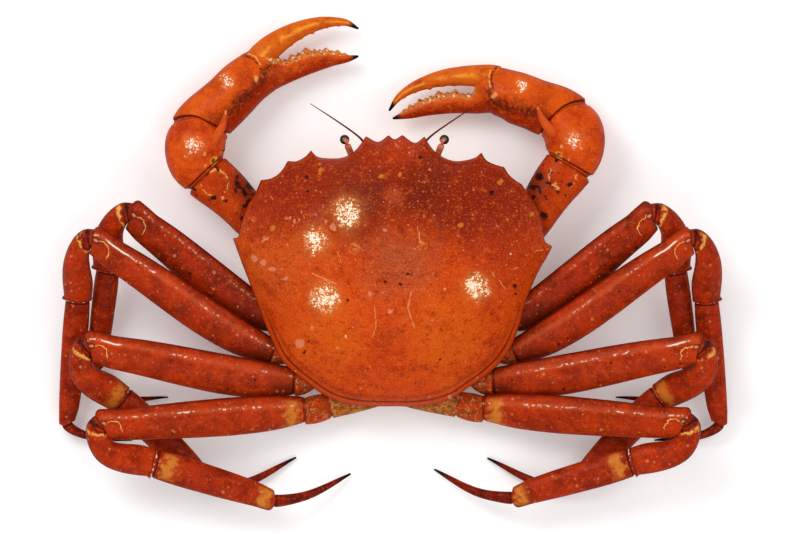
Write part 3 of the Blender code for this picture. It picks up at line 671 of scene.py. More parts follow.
@dataclass
class Carapace:
    """Domed shield with its teeth, spines, rim and swellings."""

    around: int = 720
    top_rows: int = 92
    under_rows: int = 14
    rubbing: int = 14
    outline: np.ndarray = field(init=False)
    plain: np.ndarray = field(init=False)

    def __post_init__(self) -> None:
        """Work out the toothed outline and the plain one inside it."""
        half = len(LEFT_OUTLINE)
        left = [(-x, y) for x, y in LEFT_OUTLINE]
        loop = np.array([FRONT_NOTCH, *left, REAR_MIDDLE, *reversed(RIGHT_OUTLINE)])
        count = len(loop)
        corners = [1 + tip for tip in TOOTH_TIPS]
        corners += [half + 1 + half - tip for tip in reversed(TOOTH_TIPS)]
        steps = np.linalg.norm(np.diff(np.vstack((loop, loop[:1])), axis=0), axis=1)
        travelled = np.concatenate(([0.0], np.cumsum(steps)))
        wanted = np.arange(self.around) / self.around * travelled[-1]
        index = np.interp(wanted, travelled, np.arange(count + 1))
        self.outline = np.empty((self.around, 2))
        for first, last in zip(corners, corners[1:] + [corners[0] + count]):
            stretch = np.arange(first, last + 1)
            places = loop[stretch % count]
            for offset in (0, count):
                inside = (index + offset >= first) & (index + offset <= last)
                self.outline[inside] = smooth_table(stretch, places, (index + offset)[inside])
        for _ in range(self.rubbing):
            loop = (np.roll(loop, 1, axis=0) + 2 * loop + np.roll(loop, -1, axis=0)) / 4
        wrapped = np.vstack((loop[-2:], loop, loop[:3]))
        self.plain = smooth_table(np.arange(-2, count + 3), wrapped, index)

    def place(self, around: Points, along: Points) -> Placed:
        """Points, local coordinates and place round the section of every vertex."""
        total = self.top_rows + self.under_rows
        row = along * total
        top = row <= self.top_rows
        outward = 1 - (1 - np.minimum(row / self.top_rows, 1.0)) ** ROW_CROWDING
        inward = np.clip((row - self.top_rows) / self.under_rows, 0.0, 1.0)
        # The underside runs in over the thin edge and then across to the middle
        share = np.where(top, outward, np.interp(inward, UNDER_PLACES, UNDER_SIZES))
        position = np.round(around * self.around).astype(int) % self.around
        blend = np.maximum(0.0, (share - TOOTH_START) / (1 - TOOTH_START)) ** TOOTH_POWER
        bare = self.plain[position]
        full = self.outline[position]
        flat = DOME_CENTRE + share[:, None] * (bare + blend[:, None] * (full - bare) - DOME_CENTRE)
        x = flat[:, 0]
        y = flat[:, 1]
        rim = RIM_HEIGHT + RIM_SLOPE * y
        height = rim + DOME_HEIGHT * (1.0 - np.minimum(share, 1.0) ** DOME_POWERS[0]) ** DOME_POWERS[1]
        fade = np.where(share < REGION_FADE, 1.0, np.maximum(0.0, (1.0 - share) / (1.0 - REGION_FADE)))
        for forward_out, forward, radius_x, radius_y, rise in REGIONS:
            reach = ((np.abs(x) - forward_out) / radius_x) ** 2 + ((y - forward) / radius_y) ** 2
            height += fade * rise * np.exp(-reach)
        drop = np.interp(inward, UNDER_PLACES, UNDER_DEPTHS)
        height = np.where(top, height, rim - drop)
        points = np.stack((x, y, height), axis=1)
        from_edge = (1 - share) * np.linalg.norm(full - DOME_CENTRE, axis=1)
        local = np.stack((x, y, from_edge), axis=1)
        return points, local, np.stack((blend, np.where(top, 1.0, -1.0), share), axis=1)

    def build(self, finishes: "Finishes") -> None:
        """Skin and dress the shield."""
        item = sheet_mesh("carapace_shell", self.around, self.top_rows + self.under_rows, self.place)
        dress(item, "carapace", finishes.carapace)


@dataclass
class Thorax:
    """Body under the carapace, with the first article of every limb."""

    carapace: Carapace
    around: int = 240
    rows: int = 90

    def place(self, around: Points, along: Points) -> Placed:
        """Points, local coordinates and place round the section of every vertex."""
        count = len(self.carapace.plain)
        position = np.round(around * count).astype(int) % count
        loop = self.carapace.plain[position]
        rings = np.array(THORAX_RINGS)
        # Closed at the top and at the sternum
        size = np.concatenate(([0.0], rings[:, 0], [0.0]))
        height = np.concatenate((rings[:1, 1], rings[:, 1], rings[-1:, 1]))
        slope = np.concatenate((rings[:1, 2], rings[:, 2], rings[-1:, 2]))
        where = np.linspace(0.0, 1.0, len(size))
        share = np.interp(along, where, size)
        flat = DOME_CENTRE + share[:, None] * (loop - DOME_CENTRE)
        z = np.interp(along, where, height) + np.interp(along, where, slope) * flat[:, 1]
        points = np.stack((flat[:, 0], flat[:, 1], z), axis=1)
        return points, points.copy(), np.zeros_like(points)

    def build(self, finishes: "Finishes") -> None:
        """Skin and dress the body and the first articles."""
        item = sheet_mesh("thorax_shell", self.around, self.rows, self.place)
        dress(item, "thorax", finishes.belly)
        for side, legs, arm in ((Side.LEFT, LEFT_LEGS, LEFT_ARM), (Side.RIGHT, RIGHT_LEGS, RIGHT_ARM)):
            for index, leg in enumerate(legs):
                self.coxa(f"{side.word}_coxa_{index + 1}", leg_path(leg, index),
                          fuller(COXA_STATIONS, HIP_REAR[index]), side, 10, finishes)
            hip = rod_article(f"{side.word}_rear_hip", REAR_HIP, side, 10, columns=32, rows=40)
            dress(hip.build(), "thorax", finishes.hip)
            self.coxa(f"{side.word}_arm_coxa", Path([(*place, 0.0) for place in arm]), ARM_COXA_STATIONS,
                      side, 12, finishes)

    @staticmethod
    def coxa(name: str, path: Path, stations: Rows, side: Side, facets: int, finishes: "Finishes") -> None:
        """Skin and dress the first article of a limb."""
        article = Article(name, path, -COXA_ROOT, COXA_SHARE * path.distance(1), stations, side, facets)
        dress(article.build(), "thorax", finishes.hip)


@dataclass
class Flap:
    """Jointed tail flap folded under the body."""

    columns: int = 48
    rows: int = 120

    def place(self, around: Points, along: Points) -> Placed:
        """Points, local coordinates and place round the section of every vertex."""
        path = Path([(0.0, y, z, width) for y, z, width in FLAP])
        whole = float(path.along[-1])
        size = np.clip(np.minimum(along, 1 - along) * self.rows / 3, 0.0, 1.0)
        distance = along * whole
        values = path.at(distance)
        travel = path.direction(distance)
        upward = np.stack((np.zeros_like(distance), travel[:, 2], -travel[:, 1]), axis=1)
        angle = math.tau * around
        c = np.sign(np.cos(angle)) * np.abs(np.cos(angle)) ** FLAP_POWER
        s = np.sign(np.sin(angle)) * np.abs(np.sin(angle)) ** FLAP_POWER
        points = values[:, :3] + (size * s * FLAP_HALF_DEPTH)[:, None] * upward
        points[:, 0] += size * c * values[:, 3]
        local = np.stack((size * c * values[:, 3], distance, whole - distance), axis=1)
        return points, local, np.stack((c, s, size), axis=1)

    def build(self, finishes: "Finishes") -> None:
        """Skin and dress the flap."""
        dress(sheet_mesh("tail_flap_shell", self.columns, self.rows, self.place), "tail_flap",
              finishes.belly)


@dataclass
class Face:
    """Eye stalk, eye and feeler of one side."""

    side: Side

    def build(self, finishes: "Finishes") -> None:
        """Build and dress the three pieces."""
        word = self.side.word
        stout = [(*row[:3], STALK_SCALE * row[3]) for row in STALK]
        stalk = rod_article(f"{word}_eye_stalk_skin", stout, self.side, 8, columns=24, rows=36)
        dress(stalk.build(), f"{word}_eye_stalk", finishes.stalk)
        thin = [(*row[:3], FEELER_SCALE * row[3]) for row in FEELER]
        feeler = rod_article(f"{word}_feeler_skin", thin, self.side, 8, round_ends=(0.4, 0.2),
                             columns=20, rows=80)
        dress(feeler.build(), f"{word}_feeler", finishes.feeler)
        mesh = bpy.data.meshes.new(f"{word}_eye_surface")
        bm = bmesh.new()
        bmesh.ops.create_uvsphere(bm, u_segments=32, v_segments=20, radius=EYE_RADIUS * MM)
        centre = (np.array((self.side.value * EYE_CENTRE[0], *EYE_CENTRE[1:])) + SHIFT) * MM
        bmesh.ops.translate(bm, verts=bm.verts, vec=centre)
        write_mesh(bm, mesh)
        dress(put(mesh.name, mesh), f"{word}_eye", finishes.eye)


class Value:
    """Float output of a node; arithmetic on it adds Math nodes."""

    def __init__(self, paint: "Paint", socket: bpy.types.NodeSocket) -> None:
        self.paint = paint
        self.socket = socket

    def __add__(self, other: "Value | float") -> "Value":
        """Sum."""
        return self.paint.math("ADD", self, other)

    def __sub__(self, other: "Value | float") -> "Value":
        """Difference."""
        return self.paint.math("SUBTRACT", self, other)

    def __rsub__(self, other: float) -> "Value":
        """Difference from a number."""
        return self.paint.math("SUBTRACT", other, self)

    def __mul__(self, other: "Value | float") -> "Value":
        """Product."""
        return self.paint.math("MULTIPLY", self, other)

    def __truediv__(self, other: "Value | float") -> "Value":
        """Quotient."""
        return self.paint.math("DIVIDE", self, other)

    def __abs__(self) -> "Value":
        """Size without its sign."""
        return self.paint.math("ABSOLUTE", self)

    __rmul__ = __mul__

    def most(self, other: "Value | float") -> "Value":
        """Larger of two values."""
        return self.paint.math("MAXIMUM", self, other)

    def ease(self, low: float, high: float) -> "Value":
        """Smooth step from 0 at low to 1 at high, which may be the smaller number."""
        node = self.paint.node("ShaderNodeMapRange", {"interpolation_type": "SMOOTHSTEP"},
                               {"Value": self, "From Min": low, "From Max": high})
        return Value(self.paint, node.outputs["Result"])

    def bell(self, middle: float, width: float) -> "Value":
        """1 at the middle, falling to 0 within width on both sides."""
        return abs(self - middle).ease(width, 0.0)


Input = Value | float | tuple | bpy.types.NodeSocket
# Red, green and blue as screen values from 0 to 255
Tint = tuple[int, int, int]


def linear_colour(tint: Tint) -> tuple[float, float, float, float]:
    """Linear colour of screen values."""
    linear = []
    for value in tint:
        share = value / 255
        linear.append(share / 12.92 if share <= 0.04045 else ((share + 0.055) / 1.055) ** 2.4)
    return (*linear, 1.0)


class Paint:
    """Node tree of one material, read in millimetres."""

    def __init__(self, name: str) -> None:
        self.material = bpy.data.materials.new(name)
        self.material.use_nodes = True
        self.tree = self.material.node_tree
        self.tree.nodes.clear()
        self.base: Input = linear_colour((0, 0, 0))
        self.shader = self.node("ShaderNodeBsdfPrincipled")
        self.node("ShaderNodeOutputMaterial", inputs={"Surface": self.shader.outputs["BSDF"]})
        object_place = self.node("ShaderNodeTexCoord").outputs["Object"]
        self.place = self.node("ShaderNodeVectorMath", {"operation": "SCALE"},
                               {0: object_place, "Scale": 1 / MM}).outputs["Vector"]
        self.flat = self.node("ShaderNodeVectorMath", {"operation": "MULTIPLY"},
                              {0: self.place, 1: (1.0, 1.0, 0.0)}).outputs["Vector"]
        self.x, self.y, _ = self.split(self.place)
        self.across, self.from_start, self.from_end = self.split(self.attribute("local"))
        self.side, self.up, _ = self.split(self.attribute("round"))

    def node(self, kind: str, settings: dict | None = None, inputs: dict | None = None) -> bpy.types.Node:
        """Add a node.

        Args:
            kind: Blender's name of the node type.
            settings: Properties to set.
            inputs: Values, sockets or constants for its inputs, by name or number.

        Returns:
            The node.
        """
        node = self.tree.nodes.new(kind)
        for key, value in (settings or {}).items():
            setattr(node, key, value)
        self.plug(node, inputs or {})
        return node

    def plug(self, node: bpy.types.Node, inputs: dict) -> None:
        """Link or set the inputs of a node, by name or number."""
        for key, value in inputs.items():
            if isinstance(value, Value):
                value = value.socket
            if isinstance(value, bpy.types.NodeSocket):
                self.tree.links.new(value, node.inputs[key])
            else:
                node.inputs[key].default_value = value

    def math(self, operation: str, *values: "Value | float") -> Value:
        """Result of a Math node."""
        node = self.node("ShaderNodeMath", {"operation": operation}, dict(enumerate(values)))
        return Value(self, node.outputs[0])

    def split(self, vector: bpy.types.NodeSocket) -> tuple[Value, Value, Value]:
        """Three components of a vector."""
        node = self.node("ShaderNodeSeparateXYZ", inputs={0: vector})
        return tuple(Value(self, output) for output in node.outputs)

    def attribute(self, name: str) -> bpy.types.NodeSocket:
        """Vector stored on the mesh."""
        return self.node("ShaderNodeAttribute", {"attribute_name": name}).outputs["Vector"]

    def noise(self, size: float, detail: float = 3.0, rough: float = 0.55, warp: float = 0.0) -> Value:
        """Cloudy noise from 0 to 1 with features of a size in millimetres."""
        node = self.node("ShaderNodeTexNoise", inputs={
            "Vector": self.place, "Scale": 1 / size, "Detail": detail, "Roughness": rough,
            "Distortion": warp})
        return Value(self, node.outputs[0])

    def dots(self, spacing: float, radius: float, chance: float) -> Value:
        """Scattered round dots; chance is the share of cells that hold one."""
        cells = self.node("ShaderNodeTexVoronoi", inputs={"Vector": self.flat, "Scale": 1 / spacing})
        pick, size, _ = self.split(cells.outputs["Color"])
        distance = Value(self, cells.outputs["Distance"]) * spacing / (size * 0.9 + 0.5)
        return distance.ease(radius, radius * 0.55) * pick.ease(chance + 0.01, chance)

    def near(self, x: float, y: float, wobble: float = 0.0) -> Value:
        """Distance in plan from a place given in the tables' millimetres."""
        node = self.node("ShaderNodeVectorMath", {"operation": "DISTANCE"},
                         {0: self.flat, 1: (x + SHIFT[0], y + SHIFT[1], 0.0)})
        distance = Value(self, node.outputs["Value"])
        if wobble:
            distance = distance + (self.noise(wobble * 1.6, 2.0) - 0.5) * wobble * 2.4
        return distance

    def knob(self, place: float, distance: float) -> Value:
        """Distance on the shell from a place across and a distance from the end."""
        return self.math("SQRT", self.math("POWER", self.across - place, 2.0)
                         + self.math("POWER", self.from_end - distance, 2.0))

    def stroke(self, start: tuple[float, float], end: tuple[float, float], width: float) -> Value:
        """Thin straight mark in plan between two places."""
        length = math.dist(start, end)
        unit = ((end[0] - start[0]) / length, (end[1] - start[1]) / length)
        away_x = self.x - (start[0] + SHIFT[0])
        away_y = self.y - (start[1] + SHIFT[1])
        along = away_x * unit[0] + away_y * unit[1]
        beside = away_y * unit[0] - away_x * unit[1] + (self.noise(2.0, 2.0) - 0.5) * width * 2.0
        ragged = self.noise(1.6, 2.0).ease(0.34, 0.5)
        mark = beside.bell(0.0, width) * along.ease(-width, width)
        return mark * along.ease(length + width, length - width) * ragged

    def mix(self, factor: Value | float, low: Input, high: Input) -> bpy.types.NodeSocket:
        """Blend two colours."""
        return self.node("ShaderNodeMix", {"data_type": "RGBA"}, {0: factor, 6: low, 7: high}).outputs[2]

    def ground(self, factor: Value | float, low: Tint, high: Tint) -> None:
        """Start the base colour as a blend of two colours."""
        self.base = self.mix(factor, linear_colour(low), linear_colour(high))

    def lay(self, factor: Value | float, tint: Tint) -> None:
        """Lay a colour over the base colour."""
        self.base = self.mix(factor, self.base, linear_colour(tint))

    def spots(self, marks: tuple, tint: Tint, strength: float, wobble: float) -> None:
        """Lay ragged round marks of rightward x, forward y and radius over the base colour."""
        for x, y, radius in marks:
            self.lay(self.near(x, y, wobble).ease(radius, radius * 0.4) * strength, tint)

    def strokes(self, marks: tuple, tint: Tint, strength: float) -> None:
        """Lay thin marks of start, end and width over the base colour."""
        for start, end, width in marks:
            self.lay(self.stroke(start, end, width) * strength, tint)

    def finish(self, roughness: Input, height: Value | None = None,
               coat: float = 0.0) -> bpy.types.Material:
        """Plug the base colour, the roughness and the relief into the shader.

        Args:
            roughness: Roughness from 0 to 1.
            height: Fine relief in millimetres.
            coat: Weight of the glossy coat.

        Returns:
            The material.
        """
        inputs = {"Base Color": self.base, "Roughness": roughness}
        if height is not None:
            relief = self.node("ShaderNodeBump",
                               inputs={"Height": height, "Distance": MM, "Strength": 1.0})
            inputs["Normal"] = relief.outputs["Normal"]
        inputs |= {"Coat Weight": coat, "Coat Roughness": COAT_ROUGHNESS, "Specular IOR Level": SPECULAR}
        self.plug(self.shader, inputs)
        return self.material


COAT_ROUGHNESS = 0.12
# The plain reflection is weak, because the highlights are part of the colour
SPECULAR = 0.03
DARK_RED = (98, 20, 5)
BLACK = (24, 9, 6)
LINE = (62, 14, 5)
CREAM = (236, 178, 96)
TAN = (206, 124, 44)
PALE = (216, 124, 78)
GLINT = (252, 236, 214)
WHITE = (1.0, 1.0, 1.0, 1.0)


# Marks of the claws seen from above: rightward x, forward y and radius, or start, end and width
# Painted shade in the gaps between the movable finger and the palm
FINGER_GAP_SHADE = (
    ((-71.6, 98.6), (-67.0, 96.8), 0.8), ((-67.0, 96.8), (-64.0, 93.8), 0.9),
    ((-64.0, 93.8), (-62.4, 90.6), 0.9), ((48.6, 93.4), (46.2, 90.0), 0.9),
    ((46.2, 90.0), (45.6, 86.6), 0.8), ((45.6, 86.6), (46.6, 82.0), 0.9),
)
FINGER_RIMS = (
    ((-69.0, 99.0), (-65.2, 97.6), 0.5), ((-65.2, 97.6), (-62.8, 93.6), 0.5),
    ((45.4, 92.6), (44.4, 88.0), 0.5), ((44.4, 88.0), (45.0, 83.2), 0.5),
)
# Painted shade in the hollows of the palm by the movable finger and along its inner side
FINGER_HOLLOW_SHADE = (
    ((-56.0, 94.4), (-61.0, 91.4), 2.6), ((-60.6, 92.6), (-63.4, 83.6), 3.4),
    ((-63.0, 84.4), (-80.0, 69.0), 4.6), ((43.4, 83.0), (46.4, 75.0), 3.2),
    ((45.0, 76.0), (67.0, 70.4), 4.2),
)
# Painted highlights on the arm merus: a glint and a smaller one beside it on each side
ARM_GLINT_SPOTS = ((-80.5, 31.3, 1.1), (-79.8, 34.0, 0.8), (77.0, 35.6, 1.1), (75.6, 38.0, 0.8))
WRIST_DOTS = (
    (-89.2, 52.1, 0.8), (-88.5, 46.7, 1.0), (-98.7, 50.9, 0.7), (-92.7, 45.5, 0.7), (78.4, 55.6, 0.8),
    (77.7, 50.2, 1.0), (87.9, 54.4, 0.7), (81.9, 49.0, 0.7),
)
WRIST_GLINTS = ((-94.7, 55.4, 5.2), (83.9, 58.9, 5.0))
PALM_GLINTS = ((-78.8, 86.4, 3.8), (59.9, 84.3, 3.6))
# Painted tan highlights on the palms
PALM_TAN_GLINTS = ((-65.0, 87.0, 1.9), (47.2, 79.6, 1.9))
SPINE_TIPS = ((-78.6, 71.6, 1.2), (66.9, 73.0, 1.2))
ARM_BLACK = (
    (-85.4, 31.6, 1.8), (-80.2, 29.2, 1.3), (-83.3, 44.8, 1.4), (-74.0, 37.5, 2.2), (-67.8, 37.2, 3.4),
    (-71.6, 21.7, 2.6), (86.8, 44.6, 1.8), (81.8, 37.4, 1.6), (76.7, 33.0, 1.2), (76.7, 50.3, 1.3),
    (62.3, 38.8, 3.2), (68.0, 41.0, 2.2), (69.5, 23.0, 2.6),
)


@dataclass(frozen=True)
class CarapaceFinish:
    """Granular red-brown and orange shield with its blemishes.

    Patches hold rightward x, forward y and radius in millimetres, then strength and colour.
    Strokes hold start, end and width. The other marks hold rightward x, forward y and radius;
    the glints are painted highlights.
    """

    patches: tuple = (
        (-58.0, 0.0, 30.0, 0.8, (196, 80, 26)), (52.0, 6.0, 26.0, 0.8, (178, 54, 14)),
        (-46.0, 36.0, 30.0, 0.9, (138, 34, 8)), (42.0, 30.0, 34.0, 0.95, (130, 28, 6)),
        (-16.0, 28.0, 26.0, 0.95, (112, 34, 16)), (15.0, 34.0, 26.0, 0.95, (108, 26, 9)),
        (58.0, 26.0, 16.0, 0.6, (136, 36, 10)), (-62.0, 18.0, 14.0, 0.7, (160, 46, 14)),
        (2.0, 54.0, 12.0, 0.7, (174, 52, 14)), (0.0, 32.0, 6.5, 0.7, (172, 66, 34)),
        (2.0, 0.0, 27.0, 0.8, (166, 74, 42)), (-31.0, -34.0, 26.0, 0.9, (210, 84, 14)),
        (24.0, -32.0, 30.0, 0.95, (206, 82, 8)), (-3.0, -42.0, 12.0, 0.8, (188, 56, 8)),
        (0.0, -64.0, 26.0, 0.6, (196, 62, 10)), (-30.0, 4.0, 16.0, 0.6, (196, 76, 22)),
    )
    glints: tuple = ((-22.3, 24.1, 7.4), (-37.4, 11.4, 6.6), (-32.2, -15.8, 7.2), (38.3, -10.7, 6.6))
    ochre: tuple = (
        (-35.0, 44.2, 2.0), (-35.2, 46.8, 0.8), (-6.3, 41.4, 1.4), (2.4, 42.0, 1.0), (49.6, 38.4, 1.5),
        (31.4, 18.2, 1.3), (64.5, 23.6, 1.4), (-57.0, 17.0, 1.8), (-18.0, 7.4, 1.2), (12.6, 9.8, 1.5),
        (12.0, 14.4, 1.0),
    )
    rings: tuple = ((-18.6, 7.4, 2.4), (13.0, 8.6, 2.0))
    black: tuple = (
        (-21.9, -16.8, 1.1), (-42.1, -41.2, 1.3), (-40.2, -36.0, 0.6), (21.4, -44.8, 1.1),
        (41.2, -8.0, 1.3), (36.2, -4.6, 0.9), (56.6, -10.4, 1.4), (-41.1, 41.0, 1.3),
        (-40.6, 34.4, 0.8), (12.0, 49.9, 1.2), (45.4, 33.5, 1.6), (-4.5, -8.2, 0.9), (2.6, -9.3, 0.9),
        (6.4, -4.6, 0.8), (57.0, -14.0, 0.7),
    )
    strokes: tuple = (
        ((7.8, -12.5), (6.3, -20.7), 0.6), ((6.3, -20.7), (9.4, -29.8), 0.5),
        ((-9.2, -20.0), (-8.6, -29.0), 0.35), ((-8.6, -29.0), (-10.4, -34.6), 0.35),
        ((45.4, -3.6), (47.2, -6.0), 0.5), ((48.8, -7.2), (51.8, -11.4), 0.5),
        ((-38.8, -4.2), (-26.9, -9.4), 0.5), ((58.0, -1.6), (55.6, -2.4), 0.45),
        ((66.0, 6.2), (73.0, 7.2), 0.5), ((-58.6, 33.0), (-57.0, 30.4), 0.4),
        ((-52.0, 21.0), (-49.4, 21.4), 0.4), ((-43.6, 24.4), (-42.0, 21.6), 0.4),
        ((-62.4, 10.6), (-58.8, 12.6), 0.7), ((0.0, 56.8), (2.0, 54.6), 0.4),
        ((-19.6, 9.8), (-14.6, 6.4), 0.4), ((-26.6, 6.0), (-24.8, 0.4), 0.35),
        ((10.8, 17.6), (12.2, 10.0), 0.5),
    )
    pink: tuple = (
        (-49.0, 21.8, 1.0), (-46.6, 20.8, 0.8), (-60.0, 12.0, 1.4), (-65.6, 3.4, 1.4),
        (-61.8, 0.8, 1.6), (-57.6, -1.8, 1.2), (-51.0, -6.6, 1.1), (-10.6, -3.4, 1.2),
        (-11.0, -13.6, 1.6), (-1.8, -22.4, 1.1), (13.8, 23.2, 0.9), (-4.6, 16.2, 0.9),
        (-38.6, -29.6, 0.9), (-44.0, -37.0, 2.4), (29.6, 13.4, 0.8), (-28.6, 17.4, 1.4),
        (-32.0, 20.0, 1.0), (-15.0, 19.0, 0.8), (26.0, -62.0, 0.8), (31.6, -56.0, 0.7),
    )
    dark_strokes: tuple = (((14.0, -49.0), (18.6, -50.4), 0.35), ((-6.0, -6.4), (-3.6, -9.4), 0.35))

    def material(self) -> bpy.types.Material:
        """Build the shield's material."""
        paint = Paint("carapace")
        grain = paint.noise(0.9, 2.0)
        cloud = paint.noise(13.0, 5.0, 0.66)
        mottle = paint.noise(3.6, 4.0, 0.66)
        front = (paint.y + (cloud - 0.5) * 46.0).ease(-20.0, 46.0)
        paint.ground(front, (200, 66, 8), (150, 40, 9))
        for x, y, radius, strength, value in self.patches:
            away = paint.near(x, y) + (cloud - 0.5) * radius * 1.3
            paint.lay(away.ease(radius, radius * 0.1) * strength, value)
        paint.lay(cloud.ease(0.52, 0.7) * 0.45, (128, 28, 6))
        paint.lay(mottle.ease(0.52, 0.7) * 0.4, (220, 96, 24))
        paint.lay(mottle.ease(0.47, 0.33) * 0.45, (124, 30, 8))
        paint.lay(grain.ease(0.55, 0.68) * 0.28, (224, 116, 56))
        paint.lay(grain.ease(0.44, 0.33) * 0.35, (104, 22, 6))
        specks = paint.dots(2.3, 0.42, 0.45)
        freckled = (paint.y + (cloud - 0.5) * 40.0).ease(-34.0, 14.0) * 0.5 + 0.14
        paint.lay(specks * freckled, (226, 142, 100))
        flecks = paint.dots(5.6, 0.66, 0.36) * (mottle.ease(0.36, 0.6) * 0.7 + 0.1)
        paint.lay(flecks, (232, 150, 104))
        # Orange lip with a thin dark groove inside it round the rear, brighter than the shield;
        # the groove and the very edge are darkened with painted shade
        edge = paint.from_end
        rear = paint.y.ease(-14.0, -40.0)
        flank = paint.y.ease(8.0, -4.0)
        paint.lay(edge.ease(1.5, 0.7) * (flank * 0.6 + 0.1), (186, 58, 14))
        paint.lay(edge.bell(1.8, 0.5) * (rear * 0.75 + flank * 0.1), (84, 18, 5))
        paint.lay((edge + (mottle - 0.5) * 2.0).bell(3.6, 1.2) * rear * 0.4, (120, 30, 6))
        paint.lay(edge.bell(1.2, 0.8) * paint.y.ease(30.0, 40.0) * 0.55, (186, 62, 22))
        paint.lay(edge.ease(0.5, 0.0) * 0.8, (84, 16, 5))
        paint.spots(self.ochre, (196, 112, 38), 0.85, 1.8)
        for x, y, radius in self.rings:
            part = paint.near(x, y, 1.4).bell(radius, 0.4) * mottle.ease(0.4, 0.55)
            paint.lay(part * 0.75, TAN)
        paint.spots(self.black, BLACK, 0.9, 0.9)
        paint.spots(self.pink, (222, 140, 104), 0.6, 2.6)
        paint.strokes(self.strokes, (226, 150, 92), 0.75)
        paint.strokes(self.dark_strokes, DARK_RED, 0.7)
        # Painted highlights: an orange haze, a yellowish rim and broken white flecks round each glint, and
        # white specks in patches over the shield
        shine: Value | float = 0.0
        broken = paint.noise(1.5, 2.0, 0.6, warp=1.2)
        for x, y, radius in self.glints:
            around = paint.near(x, y, 3.6)
            paint.lay((around + (mottle - 0.5) * 12.0).ease(radius * 1.7, 0.0) * 0.65, (208, 120, 58))
            lit = broken + around.ease(radius, 0.0) * 0.13
            fringe = lit.ease(0.53, 0.58) * around.ease(radius * 1.15, radius * 0.7)
            paint.lay(fringe * 0.7, (232, 178, 104))
            glint_fleck = lit.ease(0.585, 0.63) * around.ease(radius, radius * 0.6)
            shine = glint_fleck.most(shine)
        scattered = paint.dots(4.8, 0.42, 0.5) * paint.noise(15.0, 3.0).ease(0.5, 0.62)
        shine = shine.most(scattered * 0.7)
        paint.lay(shine * 0.92, GLINT)
        height = grain * 0.2 + specks * 0.1 + mottle * 0.28 - edge.bell(1.8, 0.7) * rear * 0.5
        return paint.finish(0.42 * (1 - shine) + 0.24 * shine, height, coat=0.03)


